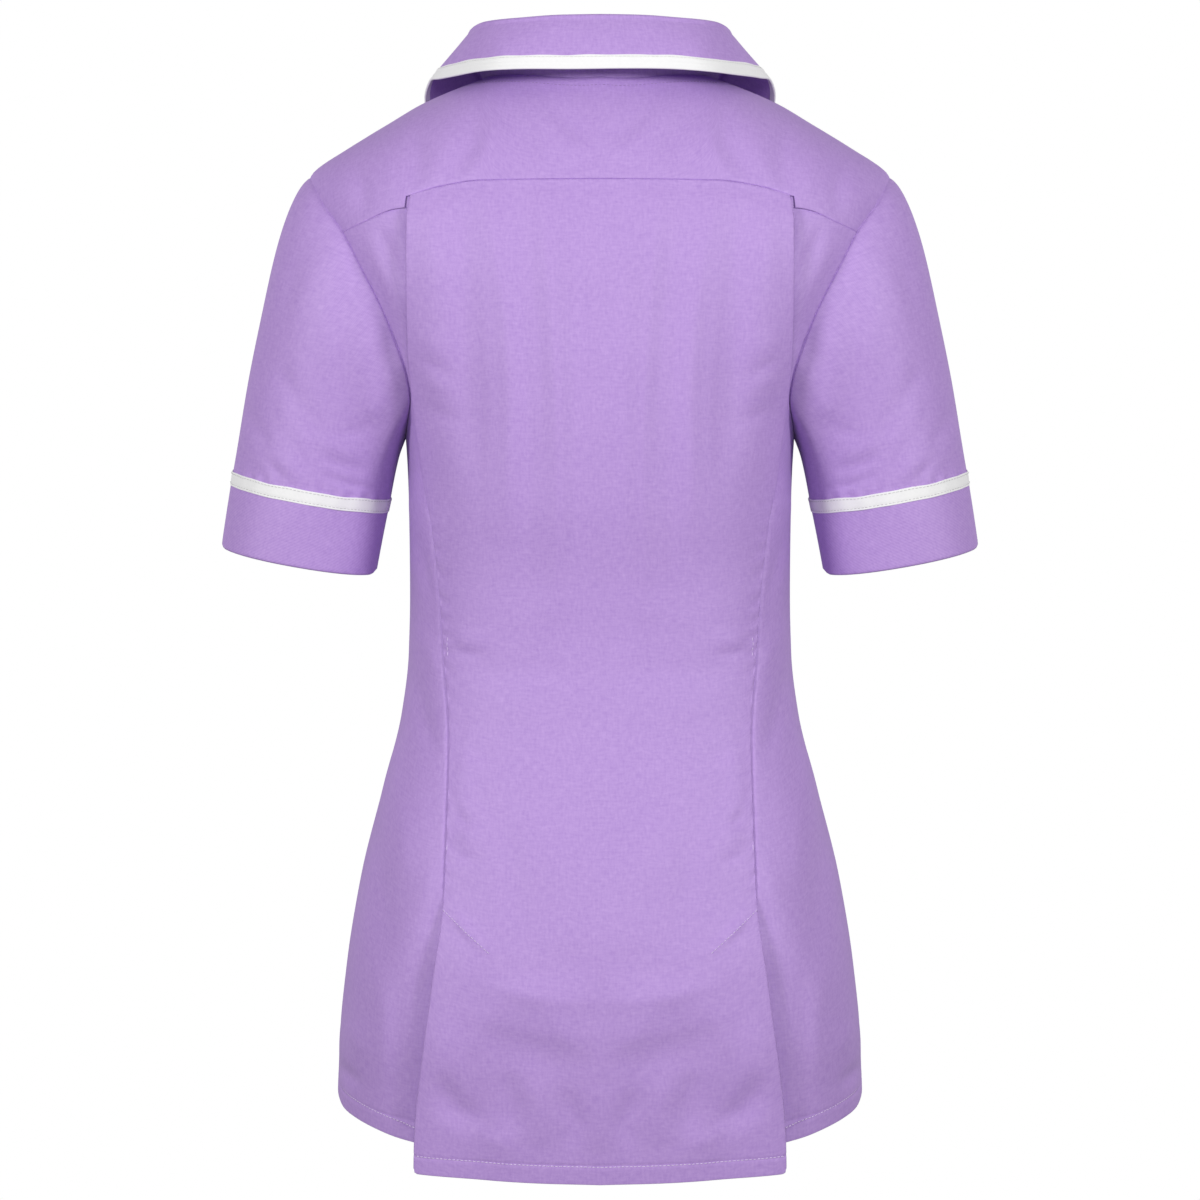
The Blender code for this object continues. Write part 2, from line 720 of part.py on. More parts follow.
def back_neck_height(across):
    """Height of the back neck seam, which is half an oval seen from above."""
    depth = NECK_BACK_DEPTH * math.sqrt(max(1 - (across / NECK_HALF_WIDTH) ** 2, 0))
    share = (depth / body_depth[BACK](0)) ** SHOULDER_ROUNDNESS
    top = ridge_height(abs(across))
    return SHOULDER_BASE + (top - SHOULDER_BASE) * (1 - share) ** (1 / SHOULDER_ROUNDNESS)


def neck_corner(number, side):
    """The neck seam at a column of the yoke or a front, from 0 at the centre back round to the front."""
    turn = math.pi / 2 * number / NECK_COLUMNS
    across = NECK_HALF_WIDTH * math.sin(turn)
    if number <= NECK_COLUMNS:
        return cloth_point(side * across, back_neck_height(across), BACK)
    return cloth_point(side * across, smooth_line(FRONT_NECK)(across), FRONT)


def neck_point(turn, side):
    """The neck seam at a turn in degrees: straight between the columns, as the panels' edges are."""
    place = turn / 90 * NECK_COLUMNS
    number = min(int(place), 2 * NECK_COLUMNS - 1)
    start, end = neck_corner(number, side), neck_corner(number + 1, side)
    return start.lerp(end, place - number), (end - start) * side


def collar_section(share):
    """The collar's section at a share from -1, the left front, to 1, the right front.

    Gives its face as points from the neck seam up the stand's neck side, over the roll and down the
    leaf to its outer edge, in three stretches: the stand, the leaf and the binding.
    """
    side = 1 if share >= 0 else -1
    turn = COLLAR_LAST_TURN * abs(share)
    across, forward, height, *edge = (line(turn) for line in COLLAR_LINES)
    roll = Vector((side * across, forward, height))
    edge = Vector((side * edge[0], edge[1], edge[2]))
    outwards = edge - roll
    outwards.z = 0
    outwards.normalize()
    hub = roll - UP * ROLL_RADIUS
    inner, outer = hub - outwards * ROLL_RADIUS, hub + outwards * ROLL_RADIUS
    seam, along = neck_point(turn, side)
    rising = (inner - seam).normalized()
    seam = seam + rising.cross(along).normalized() * (DOUBLED + SEAM_GAP) + rising * SEAM_GAP
    down = (seam - inner).normalized()
    stand = [seam.lerp(inner + down * (BREAK_BELOW_ROLL + SEAM_GAP), step / 2) for step in range(3)]
    over = [
        hub + ROLL_RADIUS * (UP * math.sin(angle) - outwards * math.cos(angle))
        for angle in (math.radians(step) for step in (45, 90, 135))
    ]
    belly = (outer + edge) / 2 + (outwards + UP * 0.5) * LEAF_BULGE

    def face(part):
        return outer * (1 - part) ** 2 + belly * 2 * part * (1 - part) + edge * part**2

    bound = 1 - BINDING_WIDTH / (edge - outer).length
    short = bound - 2 * SEAM_GAP / (edge - outer).length
    leaf = [inner + down * BREAK_BELOW_ROLL, inner] + over + [face(short * step / 3) for step in range(4)]
    binding = [face(bound + (1 - bound) * step / 2) for step in range(3)]
    return stand, leaf, binding


def collar_place(stretch):
    """Points of one stretch of the collar: 0 the stand, 1 the leaf, 2 the binding."""
    sections = [collar_section(2 * i / COLLAR_STATIONS - 1)[stretch] for i in range(COLLAR_STATIONS + 1)]

    def place(i, j):
        return sections[i][j]

    return place, len(sections[0]) - 1


def collar_stand(material):
    place, rows = collar_place(0)
    make_cloth("collar_stand", place, COLLAR_STATIONS, rows, DOUBLED, material, flipped=True)


def collar_leaf(material):
    place, rows = collar_place(1)
    make_cloth("collar_leaf", place, COLLAR_STATIONS, rows, DOUBLED, material, flipped=True)


def collar_binding(material):
    """The white tape folded over the leaf's outer edge, a little thicker than the leaf."""
    place, rows = collar_place(2)
    place = moved_out(place, -BINDING_STEP, COLLAR_STATIONS, rows)
    wall = DOUBLED + 2 * BINDING_STEP
    make_cloth("collar_binding", place, COLLAR_STATIONS, rows, wall, material, flipped=True)


def build():
    lilac = make_material("lilac_cloth", LILAC)
    white = make_material("white_trim", WHITE)
    plastic = make_material("lilac_button", BUTTON_LILAC)
    back_yoke(lilac)
    centre_back(lilac)
    for name, side in SIDES:
        side_back(f"back_side_{name}", side, lilac)
        front(f"front_{name}", side, lilac)
        sleeve(f"sleeve_{name}", side, lilac)
        cuff(f"cuff_{name}", side, lilac)
        sleeve_tape(f"sleeve_tape_{name}", side, white)
    button_band(lilac)
    for number in range(BUTTONS):
        drop = (LAST_BUTTON - FIRST_BUTTON) * number / (BUTTONS - 1)
        button(f"button_{number + 1}", FIRST_BUTTON + drop, plastic)
    collar_stand(lilac)
    collar_leaf(lilac)
    collar_binding(white)


for leftover in list(bpy.data.objects):
    bpy.data.objects.remove(leftover)
TUNIC = bpy.data.collections.new("medical_tunic")
bpy.context.scene.collection.children.link(TUNIC)
build()
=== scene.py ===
"""Looks of a short-sleeved medical tunic: cloth, white trim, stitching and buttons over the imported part.

The wearer faces +Y, so the back faces -Y and the wearer's left is -X.
The tunic is worked out in millimetres, and MM turns them into Blender's metres.
"""

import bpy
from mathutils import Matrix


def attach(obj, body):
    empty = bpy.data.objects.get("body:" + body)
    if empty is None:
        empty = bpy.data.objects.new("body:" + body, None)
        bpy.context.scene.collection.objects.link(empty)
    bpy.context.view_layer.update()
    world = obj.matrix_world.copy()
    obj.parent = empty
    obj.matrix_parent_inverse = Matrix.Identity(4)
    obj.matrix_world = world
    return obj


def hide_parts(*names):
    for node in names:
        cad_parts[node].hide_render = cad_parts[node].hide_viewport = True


bl_info = {
    "name": "Medical tunic",
    "version": (1, 0, 0),
    "blender": (4, 5, 0),
    "location": "View3D > Sidebar > Tunic",
    "description": "Sews a short-sleeved medical tunic from its cut pieces of cloth",
    "category": "Add Mesh",
}

import math
from collections import namedtuple

import bpy
import numpy as np
from bpy.props import FloatProperty, FloatVectorProperty, IntProperty, PointerProperty
from bpy.types import Operator, Panel, PropertyGroup
from mathutils import Vector

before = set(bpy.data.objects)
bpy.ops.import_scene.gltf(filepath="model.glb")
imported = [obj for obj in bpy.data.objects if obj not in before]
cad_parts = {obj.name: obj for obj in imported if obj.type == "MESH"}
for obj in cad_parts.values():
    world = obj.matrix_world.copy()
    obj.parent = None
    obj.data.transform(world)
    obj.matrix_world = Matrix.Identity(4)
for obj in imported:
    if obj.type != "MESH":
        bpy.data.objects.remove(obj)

MM = 0.001
UP = np.array((0.0, 0.0, 1.0))
BACK, FRONT = -1, 1
SIDES = (("left", -1), ("right", 1))

# How the body is cut: heights and widths in millimetres from between the side neck points
SECTION_ROUNDNESS = 2.4
SHOULDER_ROUNDNESS = 2.2
SHOULDER_BASE = -140
NECK_HALF_WIDTH = 79
NECK_BACK_DEPTH = 62
SHOULDER_POINT, YOKE_CORNER, UNDERARM = -66.5, -108, -238

Section = namedtuple("Section", "height half_width back_depth front_depth")
SECTIONS = (
    Section(40, 205, 108, 40),
    Section(-70, 205, 108, 56),
    Section(-108, 192, 110, 73),
    Section(-150, 172, 112, 95),
    Section(-190, 151, 112, 112),
    Section(-220, 137.5, 111, 119),
    Section(-238, 132.3, 110, 119),
    Section(-290, 129.6, 104, 110),
    Section(-350, 128.9, 93, 100),
    Section(-390, 129.8, 90, 98),
    Section(-430, 134.5, 93, 101),
    Section(-480, 147, 103, 106),
    Section(-540, 162, 116, 112),
    Section(-600, 171.8, 124, 116),
    Section(-640, 175.8, 123, 118),
    Section(-690, 177.8, 115, 118),
    Section(-740, 178.2, 107, 117),
)
SHOULDER_LINE = (
    (0, 18.5), (40, 12.5), (79, 0), (119, -16.3), (142.5, -30),
    (171.7, -47.6), (192.8, -61.2), (197.7, -66.5), (210, -76),
)
ArmholePoint = namedtuple("ArmholePoint", "height back_across front_across")
ARMHOLE = (
    ArmholePoint(-66.5, 197.7, 197.7),
    ArmholePoint(-86, 187.6, 184),
    ArmholePoint(-108, 172.3, 167),
    ArmholePoint(-135, 158, 151),
    ArmholePoint(-158.6, 145.9, 139.5),
    ArmholePoint(-180, 137.4, 132),
    ArmholePoint(-203, 130.2, 127),
    ArmholePoint(-220, 128.3, 126.5),
    ArmholePoint(-238, 132.3, 132.3),
)
CENTRE_EDGE = (
    (-85, 125.4), (-103, 127), (-140, 126.4), (-195, 123.7), (-249, 119.5),
    (-278, 117.4), (-305, 112.5), (-348, 107.5), (-394, 104.1), (-446, 100.4),
    (-500, 101.5), (-556, 103.4), (-617, 110.3), (-714, 120.6), (-740, 121),
)
PleatLevel = namedtuple("PleatLevel", "height fold_lift underlay sink turned_under fold_radius")
PLEATS = (
    PleatLevel(-80, 0, 25, 3.9, 22, 0.8),
    PleatLevel(-100, 3.0, 25, 1.3, 22, 0.95),
    PleatLevel(-190, 5.6, 25, 0, 22, 1.0),
    PleatLevel(-238, 3.6, 25, 0.9, 20, 1.0),
    PleatLevel(-256, 2.2, 25, 1.9, 18, 1.0),
    PleatLevel(-268, 1.2, 16, 2.7, 14, 0.95),
    PleatLevel(-277, 0.6, 10, 1.6, 10, 0.85),
    PleatLevel(-290, 0, 8, 0, 8, 0.75),
    PleatLevel(-545, 0, 8, 0, 8, 0.75),
    PleatLevel(-558, 0.7, 10, 1.6, 10, 0.85),
    PleatLevel(-567, 1.6, 16, 2.7, 14, 0.95),
    PleatLevel(-582, 3.0, 25, 1.5, 20, 1.0),
    PleatLevel(-640, 5.0, 25, 0, 24, 1.0),
    PleatLevel(-740, 5.8, 25, 0, 24, 1.0),
)
STITCHED_FROM, STITCHED_TO = -284, -552
LIFT_FADES_OVER = 45
DRAPE_FADES_OVER = 16
SINK_FADES_OVER = 24
PLEAT_GAP = 0.7
# Rows that hold the tops of the kick pleats, and tacks on the seams: their two ends
BARS = (((103, -557), (72, -585)), ((101.5, -378), (101.5, -391)), ((101, -514), (101, -519)))

# Rows of the panels: where they start and end, those tucked under the yoke and those close to a seam.
# The panels of the back and the front keep clear of the plane between them.
CENTRE_TOP, CENTRE_BOTTOM = -80, -733
SIDE_BOTTOM = -702
TUCKED_ROWS = np.array((8.0, 5.0, 2.5, 1.0, 0.3))
TUCK_DEPTH = 1.7
CLOSE_ROWS = np.array((0, 0.02, 0.08, 0.2, 0.45, 0.9, 1.6, 3.0))
TURN_RADIUS = 0.5
NO_EDGE_NEAR = 99
ARMHOLE_SEAM, FLAT_SEAM = (0.85, 0.8), (0.5, 0.9)
YOKE_CLEAR, PANEL_CLEAR = 0.02, 0.03

# Stitching: the row round the neck lies below its seam, those at a hem are pressed in, the rest laid on
NECK_ROW = 6.2
HEM_THREAD = 0.56
PRESSED_IN, LAID_ON = 0.3, 0.05

# Seams, hems and neck as lines of (across, height)
YOKE_SEAM_CENTRE = ((0, -75.9), (78, -76.3), (105, -79.7), (127.5, -86.0))
YOKE_SEAM_SIDE = ((122, -93.4), (135, -94.2), (160, -103), (173, -108))
YOKE_STEP = 128.5
CENTRE_HEM = ((0, -737), (60, -735.2), (121, -730.5))
SIDE_HEM = (
    (80, -724), (121, -713.5), (145, -705.5), (165, -697.5), (172, -693.5),
    (176, -688), (178.2, -681),
)
FRONT_HEM = (
    (0, -716), (60, -714.5), (121, -706), (150, -700), (165, -697), (172, -693.5),
    (176, -688), (178.2, -681),
)
FRONT_NECK = ((0, -76), (18, -74.5), (40, -65), (58, -47), (70, -27), (76.5, -10), (79, 0))
NECK_STEPS = 5
BACK_ROWS_LEVEL_BY = 60
FRONT_ROWS_LEVEL_BY = 170

# The closure, hidden behind: right over left
OVERLAP = 15
UNDER_LAP_SINK = 1.7
LAP_ENDS, LAP_FADES_OVER = 29, 12
BUTTONS = 6
BUTTON_RADIUS = 7.5
BAND_LIFT = 1.1
FIRST_BUTTON, LAST_BUTTON = -93, -610
BAND_TOP, BAND_BOTTOM = -76.5, -714.5
BAND_STITCHES = 11.5
BUTTON_SEAT = 0.55
BUTTON_DEPTH, BUTTON_RIM, BUTTON_DISH = 2.4, 1.8, 0.7
HOLE_RADIUS, HOLE_REACH = 0.85, 1.9
BUTTON_THREAD = 0.3

# Sleeves
SLEEVE_CENTRE = (196.8, 4, -279.2)
SLEEVE_AXIS = np.array((0.174, 0.122, -0.977)) / np.linalg.norm((0.174, 0.122, -0.977))
SLEEVE_HALF_WIDTH = 54.4
SLEEVE_HALF_DEPTH = 48
TAPE_WIDTH = 9.5
CUFF_LENGTH = 48
CUFF_TAPER = 0.8
CUFF_CORNER = 3.4
CUFF_FOLD = 1.7
TAPE_LIFT = 0.62
TAPE_FOLD = 0.3
TAPE_WALL = 0.4
SLEEVE_HALF_GIRTH = 165
Leaving = namedtuple("Leaving", "across forward up reach arrival")
LEAVE_TOP = Leaving(0.86, 0, -0.5, 22, 120)
LEAVE_BACK = Leaving(0.86, -0.06, -0.5, 46, 80)
LEAVE_FRONT = Leaving(0.86, 0.06, -0.5, 46, 80)
LEAVE_UNDER = Leaving(0.3, 0, -0.95, 14, 18)

# Collar: turn from the centre back, roll line (across, forward, height), outer edge (the same)
COLLAR = (
    (0, 0, -67, 36, 0, -83, -1.5),
    (20, 27, -66, 35.7, 34, -83, -1.5),
    (40, 54, -60, 34.5, 66, -77, -1.6),
    (60, 77, -44, 33.9, 93, -52, -2),
    (76, 86, -22, 31.2, 108, -24, -1),
    (90, 88, 0, 27, 115, 0, 1),
    (105, 86, 22, 16, 120, 24, -9),
    (122, 76, 40, -1, 120, 52, -28),
    (140, 60, 54, -25, 107, 70, -58),
    (158, 36, 62, -47, 82, 82, -90),
    (171, 14, 65, -58, 60, 88, -114),
    (190, -10, 68, -68, 40, 92, -140),
)
COLLAR_LAST_TURN = 171
ROLL_RADIUS = 3
BREAK_BELOW_ROLL = 6
LEAF_BULGE = 3
BINDING_WIDTH = 9
STAND_WALL, LEAF_WALL, BINDING_WALL = 1.0, 1.1, 0.25
COLLAR_COLUMNS = 171
COLLAR_HALF_LENGTH, BINDING_HALF_LENGTH = 265, 310

# Creases as listed: a path of (across, height) points, a half width and a rise, negative for a trough.
# A ridge has a narrow top and straight slopes; a trough is rounded.
RIDGE_TOP, RIDGE_SLOPE = 2.2, 1.35
Crease = namedtuple("Crease", "path half_width rise")
BACK_CREASES = (
    # upright folds between the shoulder blades, fading at the waist
    Crease(((38, -88), (35, -120), (31, -165), (28, -215), (26, -270), (28, -350)), 7, 4.0),
    Crease(((31, -100), (28, -140), (25, -190), (23, -250)), 5, 1.0),
    Crease(((17, -80), (17, -150), (16, -230), (15, -300), (17, -380)), 7, -1.5),
    Crease(((3, -84), (3, -150), (4, -240), (3, -320)), 8, 0.8),
    Crease(((51, -84), (49, -140), (46, -200), (45, -260), (48, -330)), 8, -1.0),
    Crease(((75, -90), (67, -130), (61, -170), (58, -220), (60, -300)), 7, 3.4),
    Crease(((91, -82), (90, -124), (90, -167), (88, -216), (84, -262)), 8, -1.7),
    Crease(((111, -94), (108, -120), (104, -150), (102, -190)), 9, 1.6),
    # short pulls by the slots of the pleats
    Crease(((122, -176), (108, -184), (98, -194)), 4, 0.7),
    Crease(((121, -191), (106, -199), (96, -209)), 3, -0.6),
    Crease(((120, -205), (105, -211), (94, -219)), 4, 0.9),
    Crease(((119, -222), (104, -230), (92, -237)), 4, -0.6),
    Crease(((96, -79), (93, -88), (88, -97)), 3, 0.9),
    # soft hollows over the waist
    Crease(((98, -390), (70, -402), (40, -399), (10, -405)), 9, -0.7),
    Crease(((90, -432), (66, -424), (36, -430)), 8, 0.5),
    Crease(((60, -372), (40, -362), (22, -366)), 7, 0.5),
    Crease(((99, -442), (88, -452), (70, -458)), 7, -0.7),
    Crease(((99, -478), (92, -462), (86, -440)), 5, 1.2),
    Crease(((100, -470), (90, -492), (78, -512)), 5, 1.3),
    Crease(((100, -505), (92, -510), (80, -512)), 4, 1.3),
    Crease(((100, -492), (92, -498), (84, -501)), 4, -1.5),
    Crease(((100, -520), (92, -523), (80, -524)), 3, -1.0),
    Crease(((100, -378), (88, -381), (74, -379)), 3, 0.8),
    Crease(((100, -386), (88, -389), (76, -390)), 3, -0.8),
    Crease(((40, -490), (30, -520), (24, -556)), 9, 0.9),
    Crease(((62, -500), (56, -540), (50, -580)), 10, -0.9),
    # the bars that hold the tops of the kick pleats
    Crease(((103, -556), (88, -571), (74, -585)), 2.4, 1.7),
    Crease(((101, -563), (86, -577), (73, -589)), 2.6, -1.1),
    # the seat, and the cloth that hangs below it
    Crease(((0, -615), (28, -615), (52, -611), (78, -604)), 11, 3.4),
    Crease(((0, -592), (30, -594), (58, -596)), 9, -1.0),
    Crease(((0, -652), (26, -654), (52, -650), (82, -640)), 13, -1.9),
    Crease(((36, -618), (22, -640), (4, -652)), 7, 1.2),
    Crease(((62, -612), (74, -628), (84, -652)), 7, 1.4),
    Crease(((108, -664), (96, -686), (78, -700)), 9, -3.2),
    Crease(((113, -622), (110, -650), (106, -680)), 8, 2.0),
    Crease(((62, -662), (57, -684), (58, -706)), 8, -1.9),
    Crease(((44, -668), (38, -690), (40, -712)), 8, 1.9),
    Crease(((24, -674), (16, -696), (20, -714)), 7, -1.8),
    Crease(((0, -670), (0, -692), (0, -716)), 8, 1.6),
    Crease(((90, -692), (74, -706), (54, -714)), 6, 1.6),
)
SIDE_BACK_CREASES = (
    Crease(((153, -118), (141, -142), (130, -168)), 5, 1.9),
    Crease(((147, -108), (137, -128), (127, -150)), 4, -1.7),
    Crease(((128, -300), (119, -330), (112, -352)), 5, -1.2),
    Crease(((124, -372), (116, -384), (108, -402)), 6, 1.4),
    Crease(((124, -404), (119, -430), (112, -452)), 6, -1.8),
    Crease(((140, -452), (133, -492), (128, -540)), 8, 1.5),
    Crease(((152, -500), (146, -545), (144, -590)), 9, -1.8),
    Crease(((112, -530), (116, -556), (121, -580)), 5, 1.6),
    Crease(((150, -590), (142, -630), (140, -676)), 9, 1.8),
    Crease(((131, -600), (134, -640), (136, -684)), 6, -1.5),
    Crease(((167, -636), (160, -650), (150, -654)), 7, 1.4),
    Crease(((176, -666), (168, -672), (160, -676)), 5, -1.6),
    Crease(((136, -690), (131, -700), (128, -708)), 4, -1.3),
)
YOKE_CREASES = (
    Crease(((52, -10), (42, -32), (24, -52), (4, -66)), 6, 1.5),
    Crease(((30, -28), (16, -44), (2, -54)), 6, -1.3),
    Crease(((66, -22), (54, -40), (40, -62)), 6, -1.3),
    Crease(((70, -34), (74, -58), (92, -82)), 6, 1.5),
    Crease(((84, -30), (84, -50), (98, -76)), 6, -1.4),
    Crease(((37, -46), (37, -62), (40, -76)), 5, 1.0),
    Crease(((0, -58), (12, -66), (24, -74)), 5, -1.1),
    Crease(((104, -28), (102, -52), (110, -78)), 7, 1.3),
    Crease(((124, -36), (120, -60), (124, -84)), 7, -1.4),
    Crease(((146, -46), (140, -66), (138, -88)), 7, 1.3),
    Crease(((166, -60), (158, -78), (158, -98)), 6, -1.1),
)
FRONT_CREASES = (
    Crease(((122, -236), (98, -214), (70, -190), (52, -160)), 9, 1.4),
    Crease(((126, -224), (104, -196), (84, -168)), 8, -1.2),
    Crease(((60, -150), (56, -200), (50, -262), (46, -320)), 10, 1.4),
    Crease(((84, -190), (82, -250), (74, -316)), 10, -1.1),
    Crease(((100, -250), (100, -310), (90, -372)), 9, 1.2),
    Crease(((122, -372), (92, -392), (60, -396), (30, -392)), 9, -0.9),
    Crease(((110, -420), (80, -428), (46, -424)), 9, 0.8),
    Crease(((44, -430), (38, -500), (36, -570)), 11, 0.9),
    Crease(((70, -470), (66, -540), (68, -610)), 11, -1.1),
    Crease(((104, -480), (102, -560), (104, -640)), 12, 1.1),
    Crease(((140, -530), (138, -600), (140, -670)), 11, -1.1),
    Crease(((40, -620), (44, -662), (40, -704)), 9, -0.9),
    Crease(((86, -640), (84, -672), (88, -704)), 9, 1.0),
    Crease(((100, -60), (92, -100), (78, -136)), 9, -1.0),
    Crease(((130, -60), (122, -96), (112, -130)), 9, 0.9),
)
SLEEVE_BACK_CREASES = (
    Crease(((222, -150), (232, -192), (236, -236)), 9, -0.9),
    Crease(((246, -218), (232, -238), (218, -262)), 6, -1.7),
    Crease(((238, -236), (222, -254), (206, -268)), 5, 1.5),
    Crease(((218, -196), (204, -216), (190, -246)), 8, -1.5),
    Crease(((202, -206), (198, -236), (198, -264)), 6, 1.2),
    Crease(((188, -255), (176, -262), (158, -266)), 4, -1.0),
    Crease(((190, -247), (174, -253), (160, -256)), 4, 0.9),
    Crease(((184, -270), (168, -276), (150, -279)), 3, -1.0),
    Crease(((210, -258), (204, -268), (200, -276)), 3, 0.9),
    Crease(((222, -262), (216, -268), (212, -274)), 3, -0.8),
    Crease(((150, -150), (156, -190), (156, -232)), 8, 1.2),
    Crease(((176, -118), (182, -156), (184, -200)), 10, 1.1),
    Crease(((166, -150), (170, -186), (172, -220)), 7, -0.9),
    Crease(((196, -98), (206, -128), (212, -160)), 9, -1.0),
    Crease(((150, -232), (160, -240), (172, -244)), 5, -0.9),
    Crease(((140, -222), (148, -226), (158, -226)), 4, 0.7),
)
SLEEVE_FRONT_CREASES = (
    Crease(((150, -170), (172, -196), (196, -214)), 8, 2.6),
    Crease(((146, -196), (166, -220), (190, -238)), 8, -2.4),
    Crease(((206, -110), (212, -150), (210, -190)), 10, -1.7),
    Crease(((236, -190), (222, -226), (204, -258)), 8, 2.1),
    Crease(((180, -130), (186, -168), (182, -204)), 9, 1.6),
    Crease(((226, -236), (212, -252), (198, -264)), 5, -1.6),
)
COLLAR_CREASES = (
    Crease(((62, 22), (50, 14), (38, 4)), 7, 0.7),
    Crease(((88, 20), (76, 8), (66, -2)), 7, -0.7),
    Crease(((30, 26), (22, 14), (18, 6)), 7, -0.6),
    Crease(((8, 30), (10, 16), (6, 4)), 8, 0.5),
)

# Flat cut of a piece in metres: width, length and area, measured with the hems and edges that are modelled,
# and without the seam allowances that don't show. This script gives no piece's values.
FlatCut = namedtuple("FlatCut", "width length area")


def colour_choice(name, description, default):
    return FloatVectorProperty(
        name=name, description=description, subtype="COLOR", size=3, min=0, max=1, default=default
    )


def length_choice(name, description, default, least, most):
    return FloatProperty(
        name=name, description=description, subtype="DISTANCE", unit="LENGTH",
        default=default, min=least, max=most,
    )


class TunicColours(PropertyGroup):
    """Colours of the tunic's cloth, trim, thread and buttons."""

    cloth: colour_choice("Cloth", "Lilac of the body, sleeves and collar", (0.528, 0.343, 0.730))
    cloth_shade: colour_choice("Cloth shade", "Deeper lilac between the threads", (0.405, 0.244, 0.618))
    cloth_thread: colour_choice(
        "Lilac thread", "Topstitching, a little paler than the cloth", (0.80, 0.67, 0.92)
    )
    trim: colour_choice(
        "White trim", "Tape on the sleeves and binding on the collar", (0.90, 0.90, 0.90)
    )
    button: colour_choice("Buttons", "Moulded plastic of the buttons", (0.42, 0.27, 0.62))


class TunicSizes(PropertyGroup):
    """Sizes of the cloth and stitches that can change without a new cut."""

    cloth: length_choice("Cloth thickness", "Thickness of one layer of cloth", 0.00045, 0.0002, 0.001)
    cell: length_choice("Grid cell", "Size of the grid's cells across a panel", 0.0024, 0.0015, 0.01)
    crease_depth: FloatProperty(
        name="Crease depth",
        description="Scale of all the hand-laid creases",
        subtype="FACTOR",
        default=1.0,
        min=0,
        max=3,
    )
    hem: length_choice(
        "Hem turn-up", "Depth of cloth turned up and stitched along the hem", 0.0115, 0.005, 0.03
    )
    stitch: length_choice("Stitch length", "Length of one stitch, gap included", 0.0027, 0.0015, 0.006)
    thread: length_choice("Thread width", "Width of the topstitching thread", 0.00042, 0.0002, 0.001)
    button_holes: IntProperty(
        name="Button holes",
        description="Sewing holes in each button",
        default=4,
        min=2,
        max=4,
    )


def colours():
    return bpy.context.scene.tunic_colours


def sizes():
    return bpy.context.scene.tunic_sizes


# Lines and shapes


def smooth_line(pairs):
    """A function through (place, value) pairs: cubic between them, and never past their values."""
    pairs = sorted(pairs)
    places, values = (np.array(row, float) for row in zip(*pairs))
    widths = np.diff(places)
    steps = np.diff(values) / widths
    product = steps[:-1] * steps[1:]
    total = np.where(product > 0, steps[:-1] + steps[1:], 1)
    inner = np.where(product > 0, 2 * product / total, 0)
    slopes = np.concatenate((steps[:1], inner, steps[-1:]))

    def value_at(place):
        place = np.asarray(place, float)
        i = np.clip(np.searchsorted(places, place, side="right") - 1, 0, len(steps) - 1)
        t = np.clip((place - places[i]) / widths[i], 0, 1)
        rise = values[i + 1] - values[i]
        start, end = slopes[i] * widths[i] - rise, slopes[i + 1] * widths[i] - rise
        return values[i] + rise * t + t * (1 - t) * ((1 - t) * start - t * end)

    return value_at


def straight_line(pairs):
    """A function through (place, value) pairs, straight between them."""
    places, values = (np.array(row, float) for row in zip(*sorted(pairs)))

    def value_at(place):
        return np.interp(place, places, values)

    return value_at


def column(table, value, make=smooth_line):
    """The line of one named column of a table against its heights."""
    return make([(row.height, getattr(row, value)) for row in table])


half_width = column(SECTIONS, "half_width")
body_depth = {BACK: column(SECTIONS, "back_depth"), FRONT: column(SECTIONS, "front_depth")}
shoulder_height = smooth_line(SHOULDER_LINE)
armhole_across = {BACK: column(ARMHOLE, "back_across"), FRONT: column(ARMHOLE, "front_across")}
centre_edge = smooth_line(CENTRE_EDGE)
fold_lift = column(PLEATS, "fold_lift", straight_line)
underlay = column(PLEATS, "underlay", straight_line)
sink = column(PLEATS, "sink", straight_line)
turned_under = column(PLEATS, "turned_under", straight_line)
fold_radius = column(PLEATS, "fold_radius", straight_line)
COLLAR_LINES = [smooth_line([(row[0], row[k]) for row in COLLAR]) for k in range(1, 7)]


def eased(share):
    """0 to 1 with level ends."""
    share = np.clip(share, 0, 1)
    return share * share * (3 - 2 * share)


def bell(distance, width):
    """1 at no distance, falling away on both sides over a width."""
    return np.exp(-((distance / width) ** 2))


def unit(vectors):
    return vectors / np.maximum(np.linalg.norm(vectors, axis=-1, keepdims=True), 1e-12)


def stack(*parts):
    return np.stack(np.broadcast_arrays(*parts), axis=-1)


